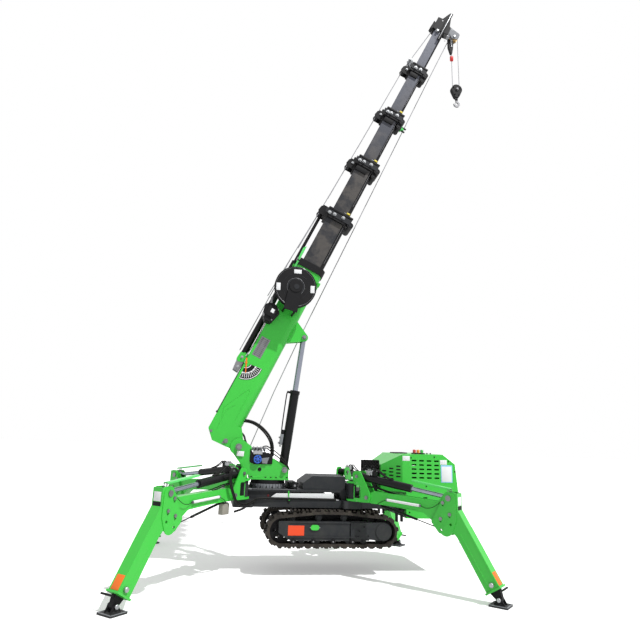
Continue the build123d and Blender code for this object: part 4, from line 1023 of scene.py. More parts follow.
class CRANE_OT_column(bpy.types.Operator):
    """Pins, bolts, crane valve and its blue hand wheel on the slewing column"""

    bl_idname = "crane.column"
    bl_label = "Slewing column"

    def execute(self, context):
        bench = Bench("column")
        zinc, steel, black, green = (bench(f, "turret") for f in ("zinc", "steel", "matt", "green"))
        for side in (1, -1):
            face = on_side(0, 0, side * COLUMN_SIDE) @ mirrored(side)
            bolt(steel, face, (PIVOT.x, PIVOT.z, 0.012), 0.046, 12)
            bolt(steel, face, (*LUFF_FOOT, 0.012), 0.040, 12)
            # weld seam at the foot, and dark bolts on the base plate's edge
            bar(green, face, (-0.745, 0.9475, 0), (-0.335, 0.9475, 0), 0.0045, 8)
            for x in (-0.582, -0.524, -0.466):
                bar(black, on_side(x, 0.9452, side * 0.163), (0, -0.001, 0), (0, 0.008, 0), 0.009, 10)
        for x in (-0.735, -0.345):
            for y in (-0.155, 0.155):
                bar(black, on_top(x, y, 0.9452), (0, 0, -0.001), (0, 0, 0.010), 0.011, 6)
        # winch motor inside the far plate
        disc(black, on_side(*WINCH, -0.205), (0, 0, 0), 0.045, 0.050, 28, 0.004)
        # crane valve: body, sections and the fittings on top of it
        body = on_side(0, 0, COLUMN_SIDE)
        plate(black, body, ((-0.764, 1.240), (-0.764, 1.108), (-0.742, 1.090), (-0.516, 1.086), (-0.512, 1.180),
                            (-0.560, 1.205), (-0.640, 1.196), (-0.726, 1.196)), -0.040, 0.012, 0.004)
        block(zinc, body, (-0.680, 1.206, -0.004), (0.100, 0.042, 0.050), 0.003)
        for k in range(4):
            block(bench("light_grey", "turret"), body, (-0.732 + 0.040 * k, 1.242, -0.020 + 0.004 * k),
                  (0.030, 0.036, 0.040), 0.006)
            bar(steel, body, (-0.732 + 0.040 * k, 1.255, -0.006), (-0.732 + 0.040 * k, 1.262, 0.016), 0.009, 8)
            bar(black, body, (-0.716 + 0.036 * k, 1.220, 0.002), (-0.716 + 0.036 * k, 1.232, 0.024), 0.008, 8)
        plate(bench("light_grey", "turret"), body, ((-0.640, 1.145), (-0.552, 1.158), (-0.576, 1.087),
                                                   (-0.628, 1.094)), 0.010, 0.024, 0.002)
        self.wheel(bench("blue", "turret"), on_side(-0.681, 1.135, 0.184), bench("matt", "turret"))
        bar(steel, on_side(-0.681, 1.135, 0.160), (0, 0, 0), (0, 0, 0.024), 0.010, 12)
        bench.close()
        pipe = context.scene.crane_sizes.pipe / 2
        for k, route in enumerate((
                ((-0.632, -0.150, 1.262), (-0.600, -0.164, 1.284), (-0.546, -0.168, 1.256), (-0.475, -0.170, 1.214),
                 (-0.415, -0.170, 1.163), (-0.350, -0.168, 1.098), (-0.322, -0.164, 1.030)),
                ((-0.640, -0.146, 1.250), (-0.604, -0.158, 1.262), (-0.560, -0.160, 1.238), (-0.505, -0.162, 1.196),
                 (-0.440, -0.166, 1.152), (-0.372, -0.166, 1.100), (-0.336, -0.162, 1.050)))):
            hose(f"valve_hose_{k}", route, pipe * 0.9, "turret")
        return {"FINISHED"}

    @staticmethod
    def wheel(bm, place, dark):
        """Dished hand wheel with six holes round its hub."""
        disc(bm, place, (0, 0, 0), 0.044, 0.010, 36, 0.003)
        disc(bm, place, (0, 0, 0.010), 0.012, 0.008, 18, 0.002)
        for k in range(6):
            turn = place @ Matrix.Rotation(pi / 3 * k + 0.3, 4, "Z")
            bar(dark, turn, (0.026, 0, 0.009), (0.026, 0, 0.0106), 0.0082, 12)


class CRANE_OT_hoses(bpy.types.Operator):
    """Hoses between the column, the boom and its cylinders"""

    bl_idname = "crane.hoses"
    bl_label = "Hoses"

    def execute(self, context):
        radius = context.scene.crane_sizes.hose / 2

        # thick loop out of the boom's foot and down behind the valve, a second one beside it, and a short one
        crossing("hose_loop", ((-0.840, -0.105, 1.545), (-0.800, -0.120, 1.546), (-0.700, -0.130, 1.512),
                               (-0.605, -0.132, 1.440), (-0.535, -0.130, 1.350), (-0.508, -0.128, 1.250),
                               (-0.512, -0.125, 1.170)),
                 radius * 1.35)
        crossing("hose_second", ((-0.850, -0.085, 1.530), (-0.795, -0.096, 1.530), (-0.705, -0.100, 1.495),
                                 (-0.618, -0.100, 1.425), (-0.552, -0.098, 1.340), (-0.524, -0.096, 1.250),
                                 (-0.528, -0.092, 1.170)),
                 radius)
        crossing("hose_short", ((-0.905, -0.095, 1.415), (-0.868, -0.100, 1.408), (-0.836, -0.100, 1.372),
                                (-0.822, -0.098, 1.320), (-0.800, -0.095, 1.280)),
                 radius * 1.15)
        # hose along the boom's back edge, up to the reel motor
        hose("hose_boom", [on_boom(a, b, 0.118).translation for a, b in (
            (0.93, 0.412), (1.00, 0.402), (1.12, 0.398), (1.25, 0.400), (1.33, 0.402), (1.40, 0.400))],
             radius * 0.5, "boom", ends=True)
        # thick hose that lies along the lower beam, on the near and on the far side
        hose("hose_beam", ((-0.905, -0.305, 0.612), (-0.845, -0.318, 0.632), (-0.795, -0.322, 0.655),
                           (-0.755, -0.322, 0.702), (-0.705, -0.322, 0.740), (-0.645, -0.318, 0.755),
                           (-0.520, -0.310, 0.752), (-0.330, -0.305, 0.750), (-0.080, -0.300, 0.750),
                           (0.180, -0.300, 0.748)), radius * 1.2, "base")
        hose("hose_far_beam", ((-0.845, 0.318, 0.632), (-0.795, 0.322, 0.655), (-0.755, 0.322, 0.702),
                               (-0.705, 0.322, 0.740), (-0.645, 0.318, 0.755), (-0.520, 0.310, 0.752),
                               (-0.330, 0.305, 0.750), (0.180, 0.300, 0.748)), radius * 1.2, "base")
        return {"FINISHED"}


class CRANE_OT_luffing(bpy.types.Operator):
    """Pipe, valve and bolts of the luffing cylinder"""

    bl_idname = "crane.luffing"
    bl_label = "Luffing cylinder"

    def execute(self, context):
        foot = on_side(*LUFF_FOOT).translation
        head = on_boom(*LUFF_EYE).translation
        way = (head - foot).normalized()
        side = way.cross(NEAR).normalized()
        if side.x > 0:
            side = -side
        place = Matrix((way, side, way.cross(side))).transposed().to_4x4()
        place.translation = foot
        bench = Bench("luffing")
        black, steel = bench("matt", "luff_barrel"), bench("steel", "luff_barrel")
        # valve block on the cylinder's back, with its screws and ports
        block(bench("light_grey", "luff_barrel"), place, (0.315, 0.070, 0), (0.120, 0.034, 0.050), 0.004)
        block(black, place, (0.400, 0.066, 0), (0.050, 0.030, 0.040), 0.004)
        for a in (0.275, 0.335):
            bar(steel, place, (a, 0.080, 0.012), (a, 0.104, 0.012), 0.009, 6)
        bar(steel, place, (0.250, 0.072, 0), (0.236, 0.072, 0), 0.011, 12)
        bar(black, place, (0.855, 0.040, 0), (0.855, 0.092, 0), 0.013, 14)
        bench.close()
        pipe = context.scene.crane_sizes.pipe / 2
        hose("luff_pipe", laid(place, ((0.855, 0.062, 0), (0.862, 0.090, 0), (0.800, 0.092, 0), (0.600, 0.089, 0),
                                       (0.450, 0.086, 0), (0.375, 0.080, 0))), pipe, "luff_barrel", "black")
        ears = Bench("ears")
        for s in (1, -1):
            face = on_boom(*LUFF_EYE, s * 0.065) @ mirrored(s)
            bolt(ears("steel", "boom"), face, (0, 0, 0), 0.036, 12)
        ears.close()
        return {"FINISHED"}


class CRANE_OT_hood(bpy.types.Operator):
    """Screws, lamps, nose slots and blank plates of the engine hood"""

    bl_idname = "crane.hood"
    bl_label = "Engine hood"

    def execute(self, context):
        bench = Bench("hood")
        black, white = bench("matt", "base"), bench("white", "base")
        for side in (1, -1):
            face = on_side(0, 0, side * HOOD_SIDE) @ mirrored(side)
            for x, z in ((1.009, 1.206), (1.283, 1.222), (1.448, 1.179), (1.522, 1.073), (1.530, 0.856),
                         (1.182, 0.910), (0.985, 0.640), (1.40, 0.640)):
                bar(black, face, (x, z, -0.001), (x, z, 0.004), 0.0075, 10)
            # blank plates: two small ones and one large with a pale blue border
            block(white, face, (0.952, 1.199, 0.0005), (0.084, 0.052, 0.002), 0.0005)
            block(white, face, (1.390, 1.168, 0.0005), (0.080, 0.050, 0.002), 0.0005)
            block(bench("sky", "base"), face, (1.424, 1.046, 0.0005), (0.136, 0.184, 0.002), 0.0005)
            block(white, face, (1.424, 1.043, 0.0012), (0.116, 0.160, 0.002), 0.0005)
            # black bracket that hangs from the hood's floor
            hang = on_side(0, 0, side * 0.330) @ mirrored(side)
            for x in (0.852, 0.908):
                block(black, hang, (x, 0.600, 0), (0.026, 0.120, 0.030), 0.003)
            block(black, hang, (0.880, 0.640, 0), (0.084, 0.030, 0.034), 0.003)
        # nose: slanting cheeks and front with rows of dark slots
        nose = atan2(0.372 - 0.250, 0.908 - 0.695)
        for side in (1, -1):
            cheek = Matrix.Translation((0.695, -side * 0.250, 0)) @ Matrix.Rotation(-side * nose, 4, "Z") @ (
                Matrix(((1, 0, 0), (0, 0, 1), (0, -1, 0))).transposed().to_4x4()) @ mirrored(side)
            for row in range(4):
                for col in range(3):
                    if row == 3 and col == 0:
                        continue
                    slot(black, cheek, (0.040 + 0.080 * col, 1.058 - 0.036 * row + 0.027 * col), 0.050, 0.015)
        front = Matrix.Translation((0.6945, 0, 0)) @ Matrix(
            ((0, 1, 0), (0, 0, 1), (1, 0, 0))).transposed().to_4x4() @ mirrored(-1)
        for row in range(4):
            for col in range(-2, 3):
                slot(black, front, (0.085 * col, 1.040 - 0.045 * row), 0.060, 0.014)
        # dark plate on the lid, at its slope
        lid = on_top(1.010, 0.06, 1.2462) @ Matrix.Rotation(-0.021, 4, "Y")
        block(black, lid, (0, 0, 0), (0.150, 0.20, 0.014), 0.004)
        # tail: grille slots
        tail = Matrix.Translation((1.5722, 0, 0)) @ Matrix(
            ((0, 1, 0), (0, 0, 1), (1, 0, 0))).transposed().to_4x4()
        for row in range(7):
            slot(black, tail, (0, 1.000 - 0.042 * row), 0.420, 0.014)
        bench.close()
        # three lamps: each lens in its own colour over the solid
        lamps = Bench("lamps")
        for k, finish in ((-1, "lens_red"), (0, "lens_amber"), (1, "lens_green")):
            bm = lamps(finish, "base")
            spot = on_top(LAMPS[0] + 0.045 * k, LAMPS[1], 0)
            bar(bm, spot, (0, 0, 1.2585), (0, 0, 1.2885), 0.0185, 24)
            bmesh.ops.create_uvsphere(bm, u_segments=20, v_segments=10, radius=0.0185,
                                      matrix=spot @ Matrix.Translation((0, 0, 1.2875)) @
                                      Matrix.Diagonal((1, 1, 0.42, 1)))
        bm = lamps("matt", "base")
        block(bm, on_top(*LAMPS, 1.2525), (0, 0, 0), (0.150, 0.040, 0.013), 0.003)
        for x in (1.245, 1.285):
            bar(bm, on_top(x, LAMPS[1], 0), (0, 0, 1.246), (0, 0, 1.262), 0.007, 10)
        piece = lamps.close()["matt", "base"]
        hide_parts("signal_lights")
        return {"FINISHED"}


class CRANE_OT_valves(bpy.types.Operator):
    """Outrigger valve bank with its guard and hoses in front of the hood"""

    bl_idname = "crane.valves"
    bl_label = "Outrigger valves"

    def execute(self, context):
        low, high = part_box("outrigger_valves")
        bench = Bench("valves")
        black, zinc, grey, steel = (bench(f, "base") for f in ("matt", "zinc", "light_grey", "steel"))
        mid_y = (low.y + high.y) / 2
        # foot, then the stacked sections with their ports and caps
        block(black, on_top(), ((low.x + high.x) / 2, mid_y, low.z + 0.080),
              (high.x - low.x - 0.004, high.y - low.y - 0.004, 0.156), 0.006)
        for k in range(6):
            x = low.x + 0.016 + 0.0256 * k
            block(grey if k in (1, 4) else black, on_top(), (x, mid_y, low.z + 0.198), (0.021, 0.088, 0.082), 0.003)
            for dz, reach in ((0.176, 0.016), (0.212, 0.022)):
                bar(zinc, on_top(), (x, low.y + 0.008, low.z + dz), (x, low.y - reach, low.z + dz), 0.0085, 8)
            bar(steel, on_top(), (x, low.y + 0.030, low.z + 0.236), (x + 0.002, low.y + 0.016, low.z + 0.262),
                0.005, 8)
        # perforated sheet that stands round the bank, open below
        self.guard(bench, low, high)
        piece = bench.close()["matt", "base"]
        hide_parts("outrigger_valves")
        radius = context.scene.crane_sizes.hose * 0.42
        y = low.y
        for k in range(3):
            start = low.x + 0.060 + 0.028 * k
            route = ((start, y - 0.010, low.z + 0.205), (start + 0.006, y - 0.035, low.z + 0.196),
                     (start + 0.004, y - 0.042, low.z + 0.120), (start - 0.030, y - 0.042, low.z + 0.050),
                     (start - 0.090, y - 0.042, low.z + 0.012), (start - 0.180, y - 0.042, low.z - 0.028))
            hose(f"bank_hose_{k}", route, radius, "base")
        route = ((low.x + 0.098, y - 0.014, low.z + 0.200), (low.x + 0.102, y - 0.042, low.z + 0.180),
                 (low.x + 0.092, y - 0.046, low.z + 0.100), (low.x + 0.054, y - 0.046, low.z + 0.040),
                 (low.x - 0.020, y - 0.046, low.z - 0.030), (low.x - 0.120, y - 0.046, low.z - 0.080))
        hose("bank_hose_thick", route, radius * 1.6, "base")
        return {"FINISHED"}

    @staticmethod
    def guard(bench, low, high):
        """Sheet with square holes, cut as a lattice of bars and strips."""
        sheet = bench("matt", "base")
        near, far = low.y - 0.004, high.y + 0.004
        front = on_side(0, 0, -near)
        top, foot = high.z + 0.052, high.z - 0.086
        left, right = low.x - 0.006, high.x + 0.010
        rows, cols = 4, 5
        for r in range(rows + 1):
            z = foot + (top - foot) * r / rows
            block(sheet, front, ((left + right) / 2, z, 0.001), (right - left, 0.014, 0.003), 0)
        for c in range(cols + 1):
            x = left + (right - left) * c / cols
            block(sheet, front, (x, (top + foot) / 2, 0.001), (0.013, top - foot, 0.003), 0)
        # far side and the end beside the hood are plain sheet, the lid has holes
        block(sheet, on_top(), ((left + right) / 2, far, (top + foot) / 2), (right - left, 0.003, top - foot), 0)
        block(sheet, on_top(), (right, (near + far) / 2, (top + foot) / 2), (0.003, far - near, top - foot), 0)
        for r in range(4):
            y = near + (far - near) * r / 3
            block(sheet, on_top(), ((left + right) / 2, y, top), (right - left, 0.014, 0.003), 0)
        for c in range(cols + 1):
            x = left + (right - left) * c / cols
            block(sheet, on_top(), (x, (near + far) / 2, top), (0.013, far - near, 0.003), 0)
        for x in (left + 0.004, right - 0.004):
            block(sheet, on_top(), (x, (near + far) / 2, foot - 0.030), (0.004, far - near, 0.080), 0)


class CRANE_OT_chassis(bpy.types.Operator):
    """Edges, strap and drive of the chassis, the deck and the slewing ring, and white sheets on the beam that paint
    its reflection
    """

    bl_idname = "crane.chassis"
    bl_label = "Chassis"

    def execute(self, context):
        bench = Bench("chassis")
        zinc, black = bench("zinc", "base"), bench("matt", "base")
        # bolts of the slewing ring and the slewing drive's cover
        ring_low, ring_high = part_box("slewing_ring")
        mid = (ring_low + ring_high) / 2
        outer = (ring_high.x - ring_low.x) / 2
        for k in range(20):
            turn = on_top(mid.x, mid.y, 0) @ Matrix.Rotation(2 * pi * (k + 0.5) / 20, 4, "Z")
            bolt(black, turn @ Matrix.Rotation(pi / 2, 4, "Y"), (-(ring_low.z + 0.014), 0, outer), 0.009)
        drive_low, drive_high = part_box("slew_drive")
        drive = (drive_low + drive_high) / 2
        face = on_side(drive.x, drive.z, -drive_low.y)
        disc(black, face, (0.010, 0.002, -0.002), 0.030, 0.012, 26, 0.003)
        disc(bench("steel", "base"), face, (0.010, 0.002, 0.010), 0.012, 0.004, 18, 0.001)
        for k in range(4):
            turn = face @ Matrix.Translation((0.010, 0.002, 0)) @ Matrix.Rotation(pi / 2 * k + 0.6, 4, "Z")
            bolt(black, turn, (0.038, 0, -0.002), 0.012)
        for side in (1, -1):
            face = on_side(0, 0, side * DECK_SIDE) @ mirrored(side)
            # bright edge of the deck, dark red plug, thin green strap round the beam
            block(zinc, face, (-0.770, 0.8365, 0.000), (0.080, 0.006, 0.004), 0)
            block(bench("steel", "base"), face, (-0.490, 0.8365, 0.000), (0.470, 0.004, 0.003), 0)
            disc(bench("maroon", "base"), face, (-0.552, 0.772, -0.004), 0.012, 0.006, 16)
            beam = on_side(0, 0, side * BEAM_SIDE) @ mirrored(side)
            strap = bench("green", "base")
            block(strap, face, (-0.333, 0.800, 0.006), (0.014, 0.048, 0.003), 0)
            block(strap, beam, (-0.330, 0.742, 0.001), (0.016, 0.024, 0.003), 0)
            bar(strap, Matrix.Identity(4), (-0.332, -side * 0.266, 0.778), (-0.330, -side * 0.302, 0.752), 0.005, 8)
            plate(black, beam, ((-0.362, 0.732), (-0.312, 0.732), (-0.334, 0.692)), 0, 0.002, 0)
        # white sheets on the lower beam's top and in the gap below the deck: a painted reflection of the light on
        # these top faces
        for side in (1, -1):
            block(bench("white", "base"), on_top(-0.225, side * 0.150, 0.7412), (0, 0, 0), (0.880, 0.294, 0.002), 0)
            sheet = on_side(0, 0, side * 0.2612) @ mirrored(side)
            plate(bench("white", "base"), sheet, ((-0.524, 0.757), (-0.468, 0.797), (0.162, 0.806), (0.163, 0.741),
                                                  (-0.280, 0.741), (-0.500, 0.741)), 0, 0.002, 0)
        bench.close()
        return {"FINISHED"}


class CRANE_OT_tracks(bpy.types.Operator):
    """Tread lugs, roller caps, hub bolts and guard strips of the tracks"""

    bl_idname = "crane.tracks"
    bl_label = "Tracks"

    def execute(self, context):
        bench = Bench("tracks")
        black, grey, steel = (bench(f, "base") for f in ("matt", "grey", "steel"))
        for side in (1, -1):
            frame_low, frame_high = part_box("track_frame_near" if side > 0 else "track_frame_far")
            outer = max(abs(frame_low.y), abs(frame_high.y))
            face = on_side(0, 0, side * outer) @ mirrored(side)
            # edge beads of the side cover, and the green oval with its two bolts
            bar(grey, face, (-0.33, 0.530, 0), (0.44, 0.530, 0), 0.004, 8)
            bar(grey, face, (-0.33, 0.390, 0), (0.44, 0.390, 0), 0.004, 8)
            corners = [(-0.058 + s * 0.020 + 0.026 * cos(radians(a)), 0.480 + 0.026 * sin(radians(a)))
                       for s, first in ((1, -90), (-1, 90)) for a in range(first, first + 181, 20)]
            plate(bench("green", "base"), face, corners, 0, 0.003)
            for x in (-0.108, -0.008):
                bar(steel, face, (x, 0.480, 0), (x, 0.480, 0.004), 0.006, 10)
            # dark roller caps under the cover
            for k in range(4):
                disc(black, face, (-0.28 + 0.21 * k, 0.345, -0.034), 0.028, 0.030, 24, 0.004)
                bar(steel, face, (-0.28 + 0.21 * k, 0.345, -0.004), (-0.28 + 0.21 * k, 0.345, 0.002), 0.008, 12)
            for x, z in ((0.472, 0.490), (0.520, 0.400), (0.420, 0.450), (0.455, 0.350)):
                bar(black, face, (x, z, -0.002), (x, z, 0.003), 0.008, 8)
        bench.close()
        # rubber lugs between the outline's shoes: a chevron step across the belt
        tread = Bench("tread")
        bm = tread("rubber", "base")
        for name, side in (("track_near", 1), ("track_far", -1)):
            low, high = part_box(name)
            mid = (low.y + high.y) / 2
            wide = high.y - low.y
            for k in range(24):
                x = low.x + 0.22 + (high.x - low.x - 0.44) * k / 23
                for z in (high.z - 0.010, low.z + 0.010):
                    for half in (1, -1):
                        block(bm, Matrix.Translation((x, mid + half * wide * 0.21, z)) @ Matrix.Rotation(
                            half * 0.20, 4, "Z"), (0, 0, 0), (0.022, wide * 0.36, 0.016), 0.003)
        tread.close()
        return {"FINISHED"}


class CRANE_OT_outriggers(bpy.types.Operator):
    """Rod guards, gas struts, tubes, boxes, bolts and pad borders of the four outriggers"""

    bl_idname = "crane.outriggers"
    bl_label = "Outriggers"

    def execute(self, context):
        sizes = context.scene.crane_sizes
        for tag, (x, lean, _) in OUTRIGGERS.items():
            seen = lean if x < 0 else -lean
            self.bracket(tag)
            self.arm(tag, sizes, seen)
            self.strut(tag)
            self.valve(tag, seen)
            self.guard(tag)
            if x < 0:
                self.loop(tag, sizes, seen)
            self.leg(tag, seen)
            self.foot(tag)
        return {"FINISHED"}

    def bracket(self, tag):
        """Pins' ends, welds and the king post's nut of the swing bracket."""
        bench = Bench("bracket")
        body = f"swing_{tag}"
        steel, black, green = (bench(f, body) for f in ("steel", "matt", "green"))
        for s in (1, -1):
            face = on_outrigger(tag, 0, 0, s * BRACKET_SIDE) @ mirrored(s)
            for x, z in (EAR_PIN, ROOT_PIN):
                bar(steel, face, (x, z, 0.006), (x, z, 0.014), 0.017, 16)
            bar(green, face, (0.060, 0.745, -0.004), (0.060, 0.900, -0.004), 0.004, 8)
        # king post nut and its ring
        level = Matrix.Translation(on_outrigger(tag, 0, 0.9425).translation)
        disc(black, level, (0, 0, 0.002), 0.032, 0.010, 28)
        bar(steel, level, (0, 0, 0.012), (0, 0, 0.026), 0.018, 6)
        bench.close()

    def arm(self, tag, sizes, seen):
        """Welds, tube and box of the arm, and the thin lines that run over it."""
        bench = Bench("arm")
        body = f"arm_{tag}"
        green, white, black = (bench(f, body) for f in ("green", "white", "matt"))
        for s in (1, -1):
            face = on_outrigger(tag, 0, 0, s * ARM_SIDE) @ mirrored(s)
            bar(green, face, (0.30, 0.748, 0), (0.770, 0.7235, 0), 0.004, 8)
            # ledge under the tube's place, and the fold across the arm
            bar(green, face, (0.430, 0.776, 0), (0.800, 0.7535, 0), 0.005, 8)
            bar(green, face, (0.800, 0.830, -0.001), (0.800, 0.706, -0.001), 0.003, 6)
        # white document tube along the arm's face, with its caps
        face = on_outrigger(tag, 0, 0, seen * 0.0590)
        bar(white, face, (0.455, 0.794, 0), (0.812, 0.7713, 0), 0.0130, 22)
        for a, b in (((0.446, 0.7945, 0), (0.458, 0.7938, 0)), ((0.810, 0.7714, 0), (0.820, 0.7708, 0))):
            bar(bench("light_grey", body), face, a, b, 0.0140, 22)
        if tag.startswith("front"):
            # beige grey box under the root of the arm
            block(bench("beige", body), on_outrigger(tag, 0.300, 0.668), (0, 0, 0), (0.100, 0.104, 0.056), 0.003)
            block(black, on_outrigger(tag, 0.300, 0.723), (0, 0, 0), (0.070, 0.012, 0.040), 0.001)
        bench.close()
        # thin cable from the tube's end towards the knee, and hoses over the bend from the bracket
        side = seen * 0.056
        place = on_outrigger(tag)
        cable = laid(place, (
            (0.820, 0.771, side), (0.860, 0.758, seen * 0.062), (0.905, 0.756, seen * 0.074),
            (0.960, 0.770, seen * 0.074), (1.006, 0.800, seen * 0.074), (1.030, 0.822, seen * 0.070)))
        crossing(f"arm_cable_{tag}", cable, 0.0028)
        wire = laid(place, (
            (0.446, 0.792, side), (0.400, 0.776, side), (0.350, 0.752, side), (0.330, 0.736, seen * 0.046)))
        hose(f"arm_wire_{tag}", wire, 0.0028, body, sides=2)
        for k, s in enumerate((-0.022, 0.022)):
            points = ((0.200, 0.900, s), (0.245, 0.905, s), (0.330, 0.892, s), (0.420, 0.870, s), (0.520, 0.852, s))
            hose(f"arm_hose_{k}_{tag}", laid(place, points), sizes.hose * 0.30, body)

    def strut(self, tag):
        """Black gas strut from the arm's root to the knee's lock plate, under the arm."""
        mesh = bmesh.new()
        place = on_outrigger(tag)
        root, mid, tip = (0.360, 0.728, 0), (0.760, 0.634, 0), (0.950, 0.589, 0)
        bar(mesh, place, root, mid, 0.0115, 16)
        bar(mesh, place, mid, tip, 0.0050, 10)
        bmesh.ops.subdivide_edges(mesh, edges=[e for e in mesh.edges if e.calc_length() > 0.1], cuts=5)
        for face in mesh.faces:
            face.smooth = True
        made = drop(mesh, f"strut_{tag}", FINISHES["black"])
        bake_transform(made)

    def valve(self, tag, seen):
        """Lock valve on top of the cylinder's foot, with two short hoses along the barrel."""
        bench = Bench("lock_valve")
        body = f"stay_barrel_{tag}"
        place = on_outrigger(tag, 0.225, 1.0405)
        block(bench("zinc", body), place, (0, 0, 0), (0.078, 0.042, 0.052), 0.003)
        block(bench("matt", body), place, (0.052, -0.006, 0), (0.034, 0.050, 0.064), 0.004)
        for z in (-0.016, 0.016):
            bar(bench("steel", body), place, (-0.012, 0.016, z), (-0.012, 0.040, z), 0.009, 6)
            bar(bench("matt", body), place, (0.052, 0.010, z), (0.052, 0.032, z), 0.011, 8)
        for z in (0.010, -0.014):
            bar(bench("zinc", body), place, (0.010, z, seen * 0.024), (0.010, z, seen * 0.046), 0.009, 8)
        bench.close()
        place = on_outrigger(tag)
        for k, s in enumerate((-0.016, 0.016)):
            points = ((0.277, 1.050, s), (0.284, 1.078, s), (0.325, 1.072, s), (0.380, 1.030, s), (0.440, 1.000, s),
                      (0.495, 0.9885, s * 0.7))
            hose(f"barrel_hose_{k}_{tag}", laid(place, points), 0.0062, body)

    def loop(self, tag, sizes, seen):
        """Pair of hoses that falls from the bracket's side and runs on along the lower beam."""
        place = on_outrigger(tag)
        near = OUTRIGGERS[tag][1]
        for k in range(2):
            gap = 0.019 * k
            falls = laid(place, (
                (0.205 + gap, 1.020, seen * 0.076), (0.270 + gap, 1.075, seen * 0.086),
                (0.338 + gap, 1.020, seen * 0.090), (0.325 + gap, 0.920, seen * 0.090),
                (0.262 + gap, 0.800, seen * 0.090)))
            level = [(-0.890, near * (0.500 + gap), 0.722 - gap), (-0.800, near * 0.430, 0.698 - gap),
                     (-0.735, near * 0.365, 0.722 - gap), (-0.690, near * 0.318, 0.748 - gap)]
            crossing(f"loop_{k}_{tag}", falls + level, sizes.hose * 0.46)

    def guard(self, tag):
        """Green guard plate over the cylinder's rod, on two thin posts of the rod's eye."""
        bench = Bench("guard")
        body = f"stay_rod_{tag}"
        bright, steel = bench("pale_green", body), bench("steel", body)
        place = on_outrigger(tag)
        plate(bright, place, ((0.715, 1.001), (1.120, 0.948), (1.121, 0.953), (0.716, 1.006)), -0.027, 0.027, 0)
        for s in (-0.0275, 0.0275):
            plate(bright, place @ Matrix.Translation((0, 0, s)), ((0.715, 0.991), (1.120, 0.938), (1.121, 0.953),
                                                                 (0.716, 1.006)), -0.0018, 0.0018, 0.001)
        for s in (-0.020, 0.020):
            bar(steel, place, (1.090, 0.950, s), (1.098, 0.896, s * 0.9), 0.0035, 8)
            bar(steel, place, (1.118, 0.947, s), (1.120, 0.902, s * 0.9), 0.0035, 8)
        bench.close()

    def leg(self, tag, seen):
        """Welds, lock pins' links, bolt, handle bar and hook of the leg."""
        bench = Bench("leg")
        body = f"leg_{tag}"
        black, green = bench("matt", body), bench("green", body)
        for s in (1, -1):
            side = on_leg(tag, 0, 0, s * LEG_SIDE) @ mirrored(s)
            # welds along both edges of the leg and above the flange
            for out in (0.0225, -0.0650):
                bar(green, side, (0.30, out, -0.002), (0.825, out, -0.002), 0.0034, 8)
            # split links of the lock pins
            face = on_outrigger(tag, 0, 0, s * LOCK_SIDE) @ mirrored(s)
            for x, z in ((1.060, 0.822), (1.126, 0.722), (1.034, 0.675)):
                bar(black, face, (x - 0.010, z - 0.020, -0.004), (x + 0.006, z - 0.030, -0.004), 0.003, 6)
        # bolt near the flange, handle bar below it
        face = on_leg(tag, 0.792, -0.028, seen * 0.0600) @ mirrored(seen)
        disc(bench("zinc", body), face, (0, 0, -0.002), 0.021, 0.030, 24, 0.005)
        handle = on_leg(tag, 0.866, 0.022, 0)
        bar(black, handle, (0, 0, -seen * 0.120), (0, 0, seen * 0.020), 0.0085, 12)
        # hook at the lock plate's foot
        bar(black, on_leg(tag), (0.352, -0.070, 0), (0.392, -0.112, 0), 0.0080, 10)
        bar(black, on_leg(tag), (0.392, -0.112, 0), (0.372, -0.136, 0), 0.0065, 10)
        block(black, on_leg(tag, 0.350, -0.074, 0), (0, 0, 0), (0.040, 0.020, 0.050), 0.003)
        bench.close()

    def foot(self, tag):
        """Pale rim and pin's ends of the foot pad."""
        bench = Bench("foot")
        body = f"foot_{tag}"
        pale = bench("light_grey", body)
        out = on_outrigger(tag, PAD_OUT, 0)
        # pale rim of the pad's upper face
        for x, z, long, wide in ((0.078, 0, 0.012, 0.166), (-0.078, 0, 0.012, 0.166),
                                 (0, 0.078, 0.166, 0.012), (0, -0.078, 0.166, 0.012)):
            block(pale, out, (x, 0.0145, z), (long, 0.004, wide), 0.001)
        for s in (1, -1):
            face = on_outrigger(tag, 0, 0, s * FOOT_SIDE) @ mirrored(s)
            disc(bench("zinc", body), face, (PAD_OUT, 0.056, -0.004), 0.019, 0.010, 22, 0.003)
        bench.close()


DRESSING = (
    CRANE_OT_boom, CRANE_OT_signs, CRANE_OT_reel, CRANE_OT_ropes, CRANE_OT_head, CRANE_OT_column, CRANE_OT_hoses,
    CRANE_OT_luffing, CRANE_OT_hood, CRANE_OT_valves, CRANE_OT_chassis, CRANE_OT_tracks, CRANE_OT_outriggers,
)


class CRANE_PT_crane(bpy.types.Panel):
    """Colours, sizes and steps of the crane"""

    bl_idname = "CRANE_PT_crane"
    bl_label = "Spider crane"
    bl_space_type = "VIEW_3D"
    bl_region_type = "UI"
    bl_category = "Crane"

    def draw(self, context):
        for group in (context.scene.crane_colours, context.scene.crane_sizes):
            column = self.layout.column(align=True)
            for name in group.bl_rna.properties.keys():
                if name not in ("rna_type", "name"):
                    column.prop(group, name)
        column = self.layout.column(align=True)
        for cls in (CRANE_OT_paint, CRANE_OT_stage) + DRESSING:
            column.operator(cls.bl_idname)


CLASSES = (CraneColours, CraneSizes, CRANE_OT_paint, CRANE_OT_stage) + DRESSING + (CRANE_PT_crane,)


def register():
    for cls in CLASSES:
        bpy.utils.register_class(cls)
    bpy.types.Scene.crane_colours = PointerProperty(type=CraneColours)
    bpy.types.Scene.crane_sizes = PointerProperty(type=CraneSizes)


def unregister():
    del bpy.types.Scene.crane_colours
    del bpy.types.Scene.crane_sizes
    for cls in reversed(CLASSES):
        bpy.utils.unregister_class(cls)


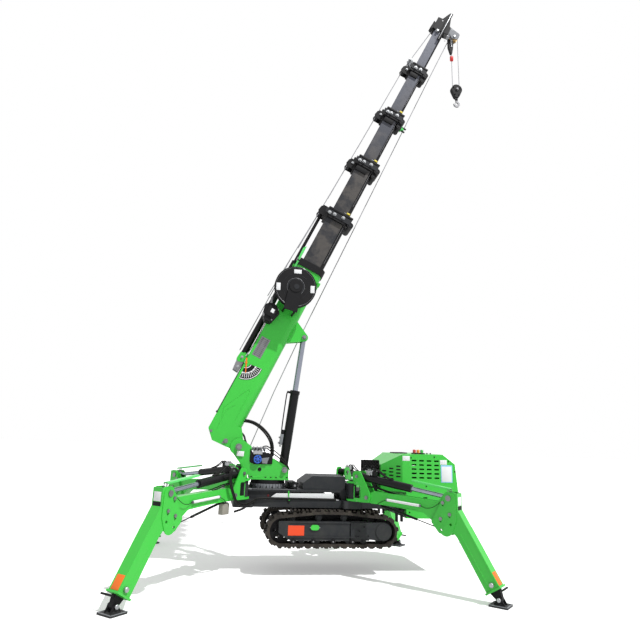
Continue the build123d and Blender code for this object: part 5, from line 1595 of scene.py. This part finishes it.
def main():
    register()
    bpy.ops.crane.paint()
    bpy.ops.crane.stage()
    for cls in DRESSING:
        getattr(bpy.ops.crane, cls.bl_idname.split(".")[1])()


if __name__ == "__main__":
    main()
